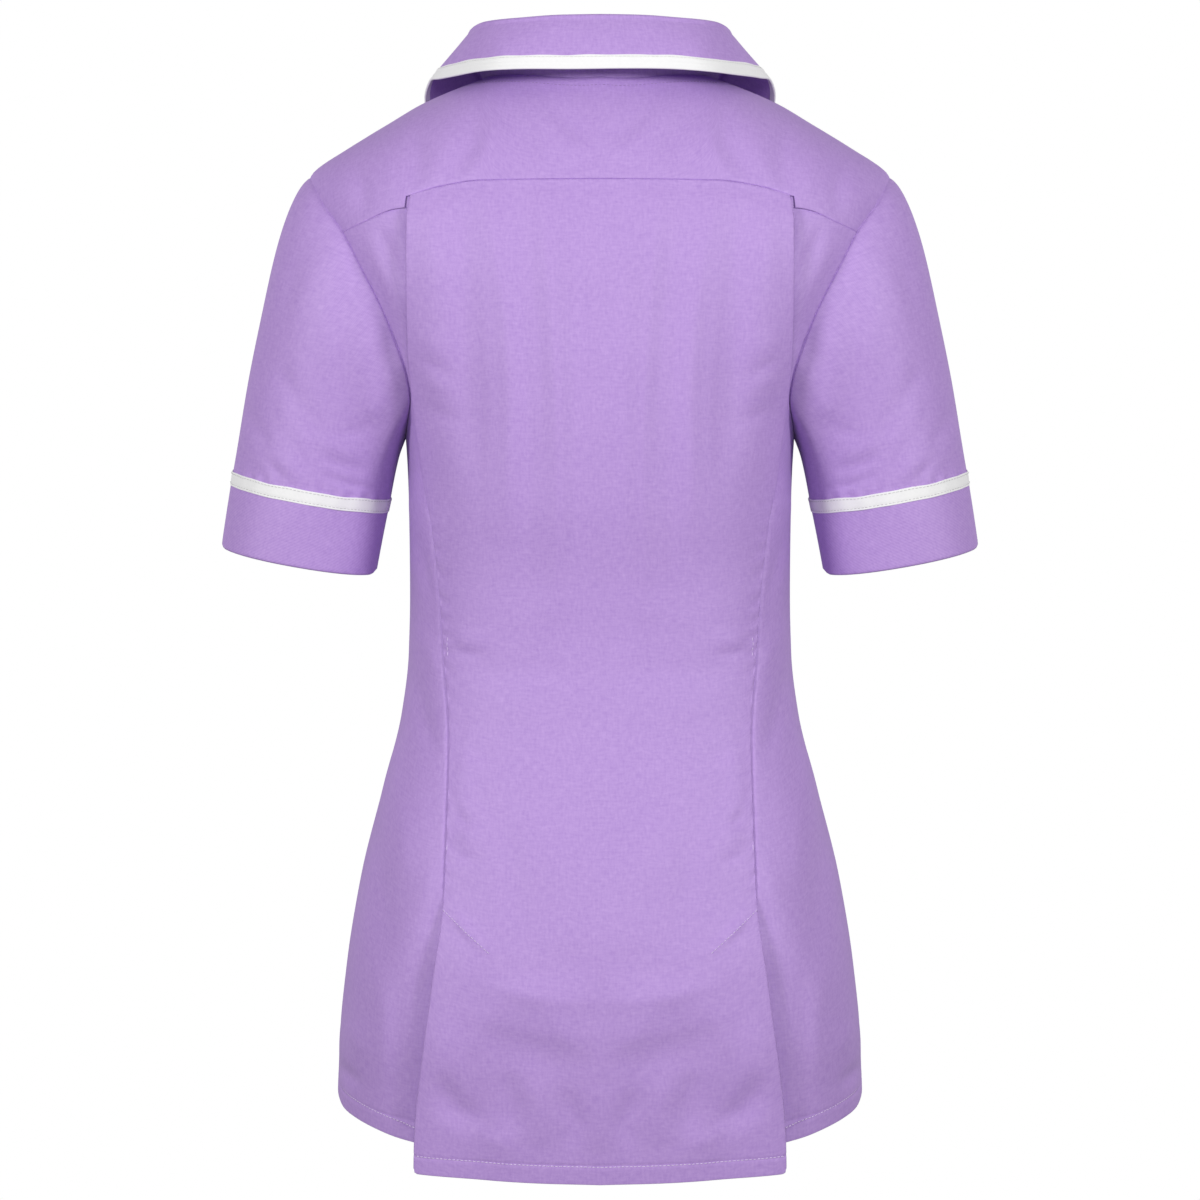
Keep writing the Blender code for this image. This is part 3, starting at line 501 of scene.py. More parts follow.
def crease_rise(creases, across, height):
    """How far a list of creases raises the cloth at each point, tapering to the ends of their paths."""
    across, height = np.broadcast_arrays(np.abs(across), height)
    rise = np.zeros(across.shape)
    for crease in creases:
        path = np.array(crease.path, float)
        reach = 3 * crease.half_width
        low, high = path.min(0) - reach, path.max(0) + reach
        near = (across > low[0]) & (across < high[0]) & (height > low[1]) & (height < high[1])
        if not near.any():
            continue
        x, z = across[near], height[near]
        lengths = np.linalg.norm(np.diff(path, axis=0), axis=1)
        ends = np.concatenate(((0,), np.cumsum(lengths)))
        closest = np.full(x.shape, 1e9)
        along = np.zeros(x.shape)
        for number, length in enumerate(lengths):
            start, step = path[number], (path[number + 1] - path[number]) / length
            travel = np.clip((x - start[0]) * step[0] + (z - start[1]) * step[1], 0, length)
            away = np.hypot(x - start[0] - travel * step[0], z - start[1] - travel * step[1])
            nearer = away < closest
            closest = np.where(nearer, away, closest)
            along = np.where(nearer, ends[number] + travel, along)
        taper = np.sin(np.pi * np.clip(along / ends[-1] * 0.92 + 0.04, 0, 1)) ** 0.7
        if crease.rise > 0:
            beyond_top = np.hypot(closest, RIDGE_TOP) - RIDGE_TOP
            profile = np.exp(-beyond_top / (RIDGE_SLOPE * crease.half_width))
            profile *= eased(3 - closest / crease.half_width)
        else:
            profile = bell(closest, crease.half_width)
        rise[near] += crease.rise * taper * profile
    return rise * sizes().crease_depth


def ripples(across, height, seed):
    """Small unevenness that no listed crease makes, under a third of a millimetre."""
    turn = seed * 1.7
    return (
        0.16 * np.sin(across * 0.071 + height * 0.023 + turn)
        + 0.13 * np.sin(across * 0.043 - height * 0.057 + 2.3 * turn)
        + 0.09 * np.sin(across * 0.131 + height * 0.087 + 3.1 * turn)
    )


def cloth_forward(across, height, facing):
    """How far forward of the side seams the body cloth lies, on the back or the front."""
    sideways = np.minimum(np.abs(across) / half_width(height), 1)
    over_side = (1 - sideways**SECTION_ROUNDNESS) ** (1 / SECTION_ROUNDNESS)
    upwards = (height - SHOULDER_BASE) / (shoulder_height(np.abs(across)) - SHOULDER_BASE)
    upwards = np.clip(upwards, 0, 1)
    over_shoulder = (1 - upwards**SHOULDER_ROUNDNESS) ** (1 / SHOULDER_ROUNDNESS)
    return facing * body_depth[facing](height) * over_side * over_shoulder


def cloth_normal(across, height, facing):
    step = 0.5
    reach = half_width(height) - 2
    x = np.clip(across, -reach, reach)
    z = np.minimum(height, shoulder_height(np.abs(x)) - 2)
    slope_x = cloth_forward(x + step, z, facing) - cloth_forward(x - step, z, facing)
    slope_z = cloth_forward(x, z + step, facing) - cloth_forward(x, z - step, facing)
    return facing * unit(stack(-slope_x, 2 * step, -slope_z))


def fold_hollow(across, height):
    """How deep the side back sinks beside the open folds of the centre back."""
    beside = np.abs(across) - centre_edge(height)
    by_slot = 7.0 * bell(height + 198, 32) * bell(beside, 4.2)
    top_of_slot = 2.2 * bell(height + 112, 20) * bell(beside, 4)
    by_kick_pleat = 5.2 * eased((-566 - height) / 50) * bell(beside, 13)
    return by_slot + top_of_slot + by_kick_pleat


def cloth_point(across, height, facing, lift=0.0):
    """Points on the body cloth's outer face, or lifted off it along its normal."""
    across, height, lift = np.broadcast_arrays(across, height, lift)
    points = stack(across, cloth_forward(across, height, facing), height)
    return points + lift[..., None] * cloth_normal(across, height, facing)


def run_on(across, height, facing, lift):
    """Points lifted off the body cloth, and its normals there."""
    return cloth_point(across, height, facing, lift), cloth_normal(across, height, facing)


def level_with_edges(level, across, top, bottom, top_line, bottom_line, fade, outwards=0.0):
    """A row's height: it follows the top and bottom lines near them, and is level between."""
    near_top = np.clip(1 - (top - level) / (fade * (1 - outwards) + 0.01), 0, 1)
    near_bottom = np.clip(1 - (level - bottom) / fade, 0, 1)
    return (
        level
        + near_top * (top_line(np.abs(across)) - top)
        + near_bottom * (bottom_line(np.abs(across)) - bottom)
    )


def steps(start, end, size):
    """Evenly spaced values from start to end, both included, about size apart."""
    return np.linspace(start, end, max(int(round(abs(end - start) / size)), 1) + 1)


def hem_rows(bottom, size):
    """Rows above a hem: close at its row of stitches, then down to its fold."""
    return steps(bottom + 14, bottom + 10, size), steps(bottom + 10, bottom, 1.6)


def joined(*stretches):
    """Stretches of values that share their ends, as one rising or falling list."""
    parts = [stretches[0]] + [np.asarray(stretch)[1:] for stretch in stretches[1:]]
    return np.concatenate(parts)


def hemmed(points, pattern, normals, levels, depth, fullness=1.0):
    """Rows from the top down, then round the hem's fold and up inside over a depth, as rows that run up."""
    angles = np.linspace(0, np.pi, 6)[1:]
    inside = np.flatnonzero((levels > levels[-1] + 0.01) & (levels <= levels[-1] + depth))[::-1]
    count = len(levels)
    source = np.concatenate((np.arange(count), np.full(5, count - 1), inside))
    inset = np.concatenate(
        (np.zeros(count), TURN_RADIUS * (1 - np.cos(angles)), np.full(len(inside), 2 * TURN_RADIUS))
    )
    drop = np.concatenate((np.zeros(count), TURN_RADIUS * np.sin(angles), np.zeros(len(inside))))
    cloth = points[source] - (inset[:, None] * fullness)[..., None] * normals[source]
    cloth[..., 2] -= drop[:, None]
    flat = pattern[source]
    folded = source[count:]
    flat[count:, :, 1] = 2 * pattern[-1, :, 1] - pattern[folded][..., 1] - 1.5
    return cloth[::-1], flat[::-1]


def lengths_along(points):
    """Lengths from the first row to each row of a grid."""
    pieces = np.linalg.norm(np.diff(points, axis=0), axis=-1)
    return np.concatenate((np.zeros((1, points.shape[1])), np.cumsum(pieces, axis=0)))


def laid_flat(points):
    """Each point's place on the flat cloth: along its row from the middle column, and down its column."""
    middle = points.shape[1] // 2
    along_row = lengths_along(points.transpose(1, 0, 2)).T
    return stack(along_row - along_row[:, middle : middle + 1], points[0, :, 2] - lengths_along(points))


def line_lengths(line):
    """Lengths from the first point to each point of a line."""
    return np.concatenate(((0,), np.cumsum(np.linalg.norm(np.diff(line, axis=0), axis=1))))


def pressed(levels, depth):
    """How far the row of hem stitches presses the cloth in."""
    return 0.35 * bell(levels - levels[-1] - depth, 1.1)[:, None]


def hemmed_panel(across, height, facing, lift, levels, depth, clear):
    """A body panel's cloth and pattern: its lower edge is turned up, and it keeps to its own half."""
    points = cloth_point(across, height, facing, lift)
    normals = cloth_normal(across, height, facing)
    points, pattern = hemmed(points, laid_flat(points), normals, levels, depth)
    points[..., 1] = facing * np.maximum(facing * points[..., 1], clear)
    return points, pattern


def grid_normals(points, closed=False):
    """Normals of a grid of points, whose rows run up it and whose columns run across it."""
    if closed:
        ring = np.concatenate((points[:, -2:-1], points, points[:, 1:2]), axis=1)
        across = ring[:, 2:] - ring[:, :-2]
    else:
        across = np.gradient(points, axis=1)
    along = np.gradient(points, axis=0)
    return unit(np.cross(across, along))


# Meshes


def deselect_all():
    if bpy.context.object and bpy.context.object.mode != "OBJECT":
        bpy.ops.object.mode_set(mode="OBJECT")
    bpy.ops.object.select_all(action="DESELECT")


def select_only(thing):
    deselect_all()
    thing.select_set(True)
    bpy.context.view_layer.objects.active = thing


def in_edit_mode(thing, *actions):
    """Runs mesh operators on the whole of one object."""
    select_only(thing)
    bpy.ops.object.mode_set(mode="EDIT")
    bpy.ops.mesh.select_all(action="SELECT")
    for action in actions:
        action()
    bpy.ops.object.mode_set(mode="OBJECT")


def apply_modifier(thing, kind, name, **values):
    """Adds a modifier, sets it and applies it."""
    modifier = thing.modifiers.new(name, kind)
    for key, value in values.items():
        setattr(modifier, key, value)
    select_only(thing)
    bpy.ops.object.modifier_apply(modifier=modifier.name)


def smooth_shaded(thing, angle=50):
    select_only(thing)
    bpy.ops.object.shade_smooth_by_angle(angle=math.radians(angle))


def finish_piece(thing, material):
    """Gives a piece its material and its slot, and lets it ride with the body."""
    thing.data.materials.clear()
    thing.data.materials.append(material)
    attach(thing, "root")
    return thing


def lay_cloth(name, points, pattern, material, wall=None, closed=False, inward=False):
    """Adds a grid, lays its points where the array puts them and gives the cloth its thickness.

    points and pattern have a row for each row of the cloth and a column for each of its columns;
    pattern holds the place of each point on the flat cloth. Their rows run up the piece, so that
    faces point out where its columns run to the right. A closed piece's last column meets its first.
    """
    rows, columns = points.shape[0] - 1, points.shape[1] - 1
    deselect_all()
    bpy.ops.mesh.primitive_grid_add(
        x_subdivisions=columns, y_subdivisions=rows, size=2, calc_uvs=True, location=(0, 0, 0)
    )
    cloth = bpy.context.active_object
    cloth.name = cloth.data.name = name
    mesh = cloth.data
    place = np.empty(len(mesh.vertices) * 3)
    mesh.vertices.foreach_get("co", place)
    place = place.reshape(-1, 3)
    i = np.rint((place[:, 0] + 1) / 2 * columns).astype(int)
    j = np.rint((place[:, 1] + 1) / 2 * rows).astype(int)
    mesh.vertices.foreach_set("co", (points[j, i] * MM).ravel())
    corners = np.empty(len(mesh.loops), dtype=np.int32)
    mesh.loops.foreach_get("vertex_index", corners)
    mesh.uv_layers.active.data.foreach_set("uv", (pattern[j, i][corners] * MM).ravel())
    mesh.update()
    actions = []
    if closed:
        actions.append(lambda: bpy.ops.mesh.remove_doubles(threshold=0.00001))
    if inward:
        actions.append(bpy.ops.mesh.flip_normals)
    if actions:
        in_edit_mode(cloth, *actions)
    apply_modifier(cloth, "SOLIDIFY", "Cloth", thickness=wall or sizes().cloth, offset=-1)
    smooth_shaded(cloth)
    return finish_piece(cloth, material)


def stitch_form():
    """One stitch, a short rounded thread: its points and faces, a unit long, wide and high."""
    deselect_all()
    bpy.ops.mesh.primitive_uv_sphere_add(segments=6, ring_count=4, radius=0.5, location=(0, 0, 0))
    ball = bpy.context.active_object
    points = np.array([vert.co for vert in ball.data.vertices])
    points = points[:, [2, 1, 0]]
    points[:, 0] = np.sign(points[:, 0]) * np.abs(2 * points[:, 0]) ** 0.6 / 2
    faces = [list(face.vertices) for face in ball.data.polygons]
    bpy.data.objects.remove(ball)
    return points, faces


def finish_mesh(name, points, faces, material):
    """Adds a small piece from its points in millimetres and its faces."""
    mesh = bpy.data.meshes.new(name)
    mesh.from_pydata((points * MM).tolist(), [], faces)
    mesh.update()
    thing = bpy.data.objects.new(name, mesh)
    bpy.context.scene.collection.objects.link(thing)
    smooth_shaded(thing, 80)
    return finish_piece(thing, material)


def sew(name, runs, material, width=None):
    """Rows of stitches along runs of (points, normals), each stitch lying on the cloth."""
    form, form_faces = stitch_form()
    pitch, width = sizes().stitch / MM, (width or sizes().thread) / MM
    points, faces = [], []
    for line, normals in runs:
        ends = line_lengths(line)
        count = max(int(ends[-1] / pitch), 1)
        middles = (np.arange(count) + 0.5) * ends[-1] / count
        half = 0.39 * ends[-1] / count

        def at(lengths, values):
            return np.stack([np.interp(lengths, ends, values[:, k]) for k in range(3)], axis=1)

        centre = at(middles, line)
        along = unit(at(middles + half, line) - at(middles - half, line))
        upright = unit(at(middles, normals))
        across = unit(np.cross(upright, along))
        for k in range(count):
            spread = np.stack((along[k] * 2 * half, across[k] * width, upright[k] * width * 0.8))
            start = len(points) * len(form)
            points.append(form @ spread + centre[k] + upright[k] * width * 0.22)
            faces.extend([[start + corner for corner in face] for face in form_faces])
    return finish_mesh(name, np.concatenate(points), faces, material)


# Materials

# Weaves: spacing of the twill in metres, depth of its ribs, turn of its grain in degrees, contrast of
# light and shade, and finish
Weave = namedtuple("Weave", "pitch ribs grain contrast roughness sheen")
LILAC_WEAVE = Weave(pitch=0.00052, ribs=0.1, grain=0, contrast=0.17, roughness=0.6, sheen=0.1)
BIAS_WEAVE = Weave(pitch=0.0013, ribs=0.13, grain=100, contrast=0.19, roughness=0.62, sheen=0.1)
TAPE_WEAVE = Weave(pitch=0.0006, ribs=0.2, grain=45, contrast=0.2, roughness=0.75, sheen=0.15)
TWILL_SCALE = 0.314
DYE_SHARE = 0.1


def new_material(name):
    material = bpy.data.materials.new(name)
    material.use_nodes = True
    return material, material.node_tree.nodes, material.node_tree.links


def add_node(nodes, kind, place, **values):
    """A node at a place in the editor, with its inputs and settings."""
    node = nodes.new(kind)
    node.location = place
    for key, value in values.items():
        if key in node.inputs:
            node.inputs[key].default_value = value
        else:
            setattr(node, key, value)
    return node


def blend_colours(nodes, links, place, dark, light, share, shader):
    """Mixes two colours by a texture's output into a shader's base colour."""
    blend = nodes.new("ShaderNodeMix")
    blend.data_type = "RGBA"
    blend.location = place
    blend.inputs[6].default_value = (*dark, 1)
    blend.inputs[7].default_value = (*light, 1)
    links.new(share, blend.inputs[0])
    links.new(blend.outputs[2], shader.inputs["Base Color"])


def raise_bumps(nodes, links, place, height, shader, strength, distance):
    bump = add_node(nodes, "ShaderNodeBump", place, Strength=strength, Distance=distance)
    links.new(height, bump.inputs["Height"])
    links.new(bump.outputs["Normal"], shader.inputs["Normal"])


def slubs(nodes, links, vector, label, scale, places):
    """Noise drawn out along one of the cloth's two directions of thread."""
    thread = add_node(nodes, "ShaderNodeMapping", places[0])
    thread.label = f"Along the {label}"
    thread.inputs["Scale"].default_value = scale
    links.new(vector, thread.inputs["Vector"])
    noise = add_node(nodes, "ShaderNodeTexNoise", places[1], Scale=620.0, Detail=4.0, Roughness=0.66)
    noise.label = f"Slubs in the {label}"
    links.new(thread.outputs["Vector"], noise.inputs["Vector"])
    return noise.outputs["Fac"]


def woven(name, light, shade, weave):
    """Woven cloth: diagonal twill lines and slubs along the thread, in the cloth's own pattern space."""
    material, nodes, links = new_material(name)
    shader = nodes["Principled BSDF"]
    shader.inputs["Roughness"].default_value = weave.roughness
    shader.inputs["Sheen Weight"].default_value = weave.sheen
    shader.inputs["Sheen Roughness"].default_value = 0.45
    shader.inputs["Sheen Tint"].default_value = (0.93, 0.86, 1, 1)
    shader.inputs["Specular IOR Level"].default_value = 0.45

    flat = add_node(nodes, "ShaderNodeTexCoord", (-1500, 0))
    turned = add_node(nodes, "ShaderNodeMapping", (-1300, 0))
    turned.label = "Grain"
    turned.inputs["Rotation"].default_value = (0, 0, math.radians(weave.grain))
    links.new(flat.outputs["UV"], turned.inputs["Vector"])

    twill = add_node(nodes, "ShaderNodeTexWave", (-1050, 260))
    twill.label = "Twill lines"
    twill.bands_direction = "DIAGONAL"
    twill.inputs["Scale"].default_value = TWILL_SCALE / weave.pitch
    twill.inputs["Distortion"].default_value = 0.6
    twill.inputs["Detail"].default_value = 1.0
    twill.inputs["Detail Scale"].default_value = 2.0
    links.new(turned.outputs["Vector"], twill.inputs["Vector"])

    grain_vector = turned.outputs["Vector"]
    warp = slubs(nodes, links, grain_vector, "warp", (1, 0.28, 1), ((-1300, -260), (-1050, -60)))
    weft = slubs(nodes, links, grain_vector, "weft", (0.28, 1, 1), ((-1300, -560), (-1050, -320)))
    cloudy = add_node(nodes, "ShaderNodeTexNoise", (-1050, -580), Scale=24.0, Detail=3.0, Roughness=0.55)
    cloudy.label = "Uneven dye and pressing"
    links.new(flat.outputs["UV"], cloudy.inputs["Vector"])

    def combined(kind, first, second, place):
        node = add_node(nodes, "ShaderNodeMath", place, operation=kind)
        for socket, value in zip(node.inputs, (first, second)):
            if isinstance(value, (int, float)):
                socket.default_value = value
            else:
                links.new(value, socket)
        return node.outputs[0]

    threads = combined("ADD", warp, weft, (-820, -160))
    threads = combined("MULTIPLY", threads, 0.5, (-660, -160))
    fine = combined("MULTIPLY", twill.outputs["Fac"], weave.ribs, (-820, 200))
    face = combined("ADD", threads, fine, (-500, 60))
    dye = combined("MULTIPLY", cloudy.outputs["Fac"], DYE_SHARE, (-820, -520))
    tone = combined("ADD", face, dye, (-340, -60))

    ramp = add_node(nodes, "ShaderNodeMapRange", (-180, -60))
    middle = 0.5 + 0.5 * weave.ribs + 0.5 * DYE_SHARE
    ramp.inputs["From Min"].default_value = middle - weave.contrast
    ramp.inputs["From Max"].default_value = middle + weave.contrast
    links.new(tone, ramp.inputs["Value"])
    blend_colours(nodes, links, (0, 60), shade, light, ramp.outputs["Result"], shader)
    raise_bumps(nodes, links, (0, -260), face, shader, 0.35, 0.00025)
    return material


def thread_finish(name, colour):
    """Twisted sewing thread."""
    material, nodes, links = new_material(name)
    shader = nodes["Principled BSDF"]
    shader.inputs["Roughness"].default_value = 0.5
    shader.inputs["Sheen Weight"].default_value = 0.2
    place = add_node(nodes, "ShaderNodeTexCoord", (-800, 0))
    twist = add_node(nodes, "ShaderNodeTexNoise", (-600, 0), Scale=2600.0, Detail=1.0)
    links.new(place.outputs["Object"], twist.inputs["Vector"])
    dark, light = (0.82 * c for c in colour), (min(1.1 * c, 1) for c in colour)
    blend_colours(nodes, links, (-300, 100), dark, light, twist.outputs["Fac"], shader)
    raise_bumps(nodes, links, (-300, -200), twist.outputs["Fac"], shader, 0.4, 0.0001)
    return material


def button_finish(name, colour):
    """Moulded plastic with a faint pearly cloud and fine scratches."""
    material, nodes, links = new_material(name)
    shader = nodes["Principled BSDF"]
    shader.inputs["Coat Weight"].default_value = 0.25
    shader.inputs["Coat Roughness"].default_value = 0.15
    place = add_node(nodes, "ShaderNodeTexCoord", (-900, 0))
    cloud = add_node(nodes, "ShaderNodeTexNoise", (-650, 120), Scale=140.0, Detail=4.0)
    scratches = add_node(nodes, "ShaderNodeTexNoise", (-650, -160), Scale=1800.0, Detail=2.0)
    for texture in (cloud, scratches):
        links.new(place.outputs["Object"], texture.inputs["Vector"])
    dark, light = (0.85 * c for c in colour), (min(1.2 * c, 1) for c in colour)
    blend_colours(nodes, links, (-300, 120), dark, light, cloud.outputs["Fac"], shader)
    rough = add_node(nodes, "ShaderNodeMapRange", (-300, -160))
    rough.inputs["To Min"].default_value = 0.22
    rough.inputs["To Max"].default_value = 0.4
    links.new(scratches.outputs["Fac"], rough.inputs["Value"])
    links.new(rough.outputs["Result"], shader.inputs["Roughness"])
    return material


def materials():
    """The tunic's materials, made once."""
    if "lilac cloth" not in bpy.data.materials:
        palette = colours()
        light, shade = tuple(palette.cloth), tuple(palette.cloth_shade)
        woven("lilac cloth", light, shade, LILAC_WEAVE)
        woven("lilac cloth on the bias", light, shade, BIAS_WEAVE)
        trim = tuple(palette.trim)
        woven("white tape", trim, tuple(0.95 * c for c in trim), TAPE_WEAVE)
        thread_finish("lilac thread", tuple(palette.cloth_thread))
        # painted shade: the neck row's thread is made far darker than the cloth, standing in for the shadow
        # in its needle holes and groove
        thread_finish("sunken lilac thread", tuple(0.62 * c for c in palette.cloth_shade))
        thread_finish("white thread", tuple(0.6 * c for c in trim))
        thread_finish("pale thread", tuple(0.9 * c for c in trim))
        button_finish("lilac button", tuple(palette.button))
    return bpy.data.materials


# Back


def neck_across(number):
    """How far out the neck's cloth lies: evenly turned, from the centre to the side neck point."""
    return NECK_HALF_WIDTH * np.sin(np.radians(90 * number / NECK_STEPS))


def back_neck_height(across):
    """Height of the back neck seam, which is half an oval seen from above."""
    depth = NECK_BACK_DEPTH * np.sqrt(np.maximum(1 - (across / NECK_HALF_WIDTH) ** 2, 0))
    share = (depth / body_depth[BACK](0)) ** SHOULDER_ROUNDNESS
    top = shoulder_height(np.abs(across))
    return SHOULDER_BASE + (top - SHOULDER_BASE) * (1 - share) ** (1 / SHOULDER_ROUNDNESS)


def yoke_seam(across):
    across = np.abs(across)
    centre, side = smooth_line(YOKE_SEAM_CENTRE), smooth_line(YOKE_SEAM_SIDE)
    return np.where(across < YOKE_STEP, centre(across), side(across))


def seam_dip(distance, depth=ARMHOLE_SEAM[0], width=ARMHOLE_SEAM[1]):
    """How far cloth dips as it nears a sewn edge."""
    return depth * bell(np.maximum(distance, 0), width)


def yoke_lift(across, height):
    """The yoke's creases, and the groove of the row of stitches round its neck."""
    across = np.abs(across)
    creases = crease_rise(YOKE_CREASES, across, height) + ripples(across, height, 1)
    below_neck = back_neck_height(np.minimum(across, NECK_HALF_WIDTH)) - height
    near_neck = eased((NECK_HALF_WIDTH - across) / 6)
    creases = creases * eased((below_neck - 4) / 14)
    band = 0.55 * eased(1 - (below_neck - NECK_ROW) / 2.2) * near_neck
    groove = 0.35 * bell(below_neck - NECK_ROW, 0.7) * near_neck
    return creases + band - groove


def stitched_part(height, fade):
    """1 where the pleats are sewn down between the action pleats and the kick pleats, 0 beyond."""
    return eased((STITCHED_FROM - height) / fade) * eased((height - STITCHED_TO) / fade)


def tuck_under(level, top):
    """1 where a panel's rows are tucked under the yoke, 0 below its top."""
    return eased((level - top + 1.2) / 1.5)


def both_sides(count):
    """Columns from the left through the centre to the right: their numbers in one half, and their sides."""
    order = np.concatenate((np.arange(count - 1, 0, -1), np.arange(count)))
    return order, np.concatenate((-np.ones(count - 1), np.ones(count)))


def back_lift(across, height):
    """How far the centre back stands off the body: its rise to the folds, and its creases."""
    across = np.abs(across)
    beside = centre_edge(height) - fold_radius(height) - across
    raised = fold_lift(height) * eased(1 - beside / LIFT_FADES_OVER)
    seam = eased(1 - beside / 9) * stitched_part(height, 8)
    wobble = np.sin(height * 0.47 + 1.9 * np.sin(height * 0.083)) * (0.6 + 0.4 * np.sin(height * 0.031))
    puckers = 0.6 * wobble * seam
    creases = crease_rise(BACK_CREASES, across, height) + ripples(across, height, 2)
    below = eased((yoke_seam(across) - height) / 12)
    hollow = 0.5 * bell(height - yoke_seam(across) + 6, 5) * (across < 110)
    return raised + puckers - hollow + creases * eased(beside / DRAPE_FADES_OVER) * below


def yoke_points():
    """From the neck and shoulder seams down to the yoke seam, whose edge is turned under."""
    cell = sizes().cell / MM
    neck = np.linspace(0, NECK_STEPS, max(int(NECK_HALF_WIDTH / cell), 6) + 1)
    shares = joined(np.linspace(0, 0.5, 20), np.linspace(0.5, 0.56, 9), np.linspace(0.56, 1, 18))
    half = np.concatenate((neck_across(neck), np.zeros(len(shares) - 1)))
    share = np.concatenate((np.zeros(len(neck)), shares[1:]))
    order, side = both_sides(len(half))
    half, share = half[order][None, :], share[order][None, :]
    levels = joined(SHOULDER_POINT - CLOSE_ROWS, steps(-69.5, -105, cell), steps(-105, YOKE_CORNER, 1.0))
    level = levels[:, None]
    along = (SHOULDER_POINT - level) / (SHOULDER_POINT - YOKE_CORNER)
    edge, lowest_edge = armhole_across[BACK](level), armhole_across[BACK](YOKE_CORNER)
    across = np.where(share > 0, NECK_HALF_WIDTH + (edge - NECK_HALF_WIDTH) * share, half)
    lowest = np.where(share > 0, NECK_HALF_WIDTH + (lowest_edge - NECK_HALF_WIDTH) * share, half)
    at_neck = share == 0
    high = np.where(at_neck, back_neck_height(np.minimum(across, NECK_HALF_WIDTH)), shoulder_height(across))
    low = yoke_seam(lowest)
    height = high + (low - high) * along
    at_edge = shoulder_height(edge) + (yoke_seam(lowest_edge) - shoulder_height(edge)) * along
    height = height + share**3 * (level - at_edge)
    to_arm = np.abs(edge - across)
    dip = seam_dip(to_arm) + seam_dip(high - height, *FLAT_SEAM)
    fade = eased((height - low) / 5) * 0.75 + 0.25
    by_shoulder = np.where(at_neck, 1, eased((high - height) / 8))
    lift = yoke_lift(across, height) * eased(to_arm / 10) * by_shoulder * fade - dip
    lift -= 0.3 * seam_dip(height - low, 0.7, 0.9)
    return hemmed_panel(side * across, height, BACK, lift, levels, 6, YOKE_CLEAR)


class TUNIC_OT_back_yoke(Operator):
    """Sew the yoke across the shoulders"""

    bl_idname = "tunic.back_yoke"
    bl_label = "Back yoke"

    def execute(self, context):
        points, pattern = yoke_points()
        yoke = lay_cloth("yoke_cloth", points, pattern, materials()["lilac cloth"])
        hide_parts("back_yoke")
        return {"FINISHED"}


def hem_corner(across, edge, radius=3.2):
    """How far the hem rises as it rounds into the fold at its end."""
    share = np.clip((across - (edge - radius)) / radius, 0, 1)
    return radius * (1 - np.sqrt(1 - share**2 * 0.999))


def centre_back_points():
    """Between the long edges, which turn under; its top lies under the yoke and its hem is turned up."""
    cell = sizes().cell / MM
    top, bottom = CENTRE_TOP, CENTRE_BOTTOM
    hanging = joined(
        steps(top, top - 4, 1.0), steps(top - 4, bottom + 14, cell), *hem_rows(bottom, 0.8)
    )
    levels = np.concatenate((top + TUCKED_ROWS, hanging))
    level = levels[:, None]
    flat = joined(np.linspace(0, 0.86, int(104 / cell)), np.linspace(0.86, 1, 12))
    bends = np.linspace(0, np.pi, 9)[1:]
    under = np.linspace(0, 1, 8)[1:]
    out = np.concatenate((flat, np.ones(len(bends) + len(under))))
    angle = np.concatenate((np.zeros(len(flat)), bends, np.full(len(under), np.pi)))
    back = np.concatenate((np.zeros(len(flat) + len(bends)), under))
    order, side = both_sides(len(out))
    out, angle, back = out[order][None, :], angle[order][None, :], back[order][None, :]
    seam_line, hem_line = smooth_line(YOKE_SEAM_CENTRE), smooth_line(CENTRE_HEM)
    height = np.broadcast_to(level, (len(level), out.shape[1])).copy()
    for _ in range(4):
        inner = centre_edge(height) - fold_radius(height)
        radius = fold_radius(height)
        across = inner * out + radius * np.sin(angle) - turned_under(height) * back
        height = level_with_edges(
            np.minimum(level, top), across, top, bottom, seam_line, hem_line, BACK_ROWS_LEVEL_BY
        )
        height = height + np.maximum(level - top, 0)
        corner = np.where(angle > 0, inner + radius, across)
        height = height + hem_corner(corner, inner + radius) * np.clip(1 - (level - bottom) / 20, 0, 1)
    turned_lift = fold_lift(height) - radius * (1 - np.cos(angle))
    under_lift = back_lift(across, height) - 2 * radius
    lift = np.where(angle == 0, back_lift(across, height), np.where(back > 0, under_lift, turned_lift))
    tuck = tuck_under(level, top)
    lift = lift * (1 - tuck) - TUCK_DEPTH * tuck - (2 * radius + 0.4) * tuck * (back > 0)
    lift = lift - pressed(levels, sizes().hem / MM)
    points = cloth_point(side * across, height, BACK, lift)
    fullness = 1 - 0.7 * eased((angle - np.pi / 2) / (np.pi / 2))
    return hemmed(points, laid_flat(points), -grid_normals(points), levels, sizes().hem / MM, fullness)


class TUNIC_OT_centre_back(Operator):
    """Sew the centre back with its action pleats, kick pleats and hem"""

    bl_idname = "tunic.centre_back"
    bl_label = "Centre back"

    def execute(self, context):
        points, pattern = centre_back_points()
        panel = lay_cloth("back_centre_cloth", points, pattern, materials()["lilac cloth"])
        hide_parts("back_centre")
        return {"FINISHED"}


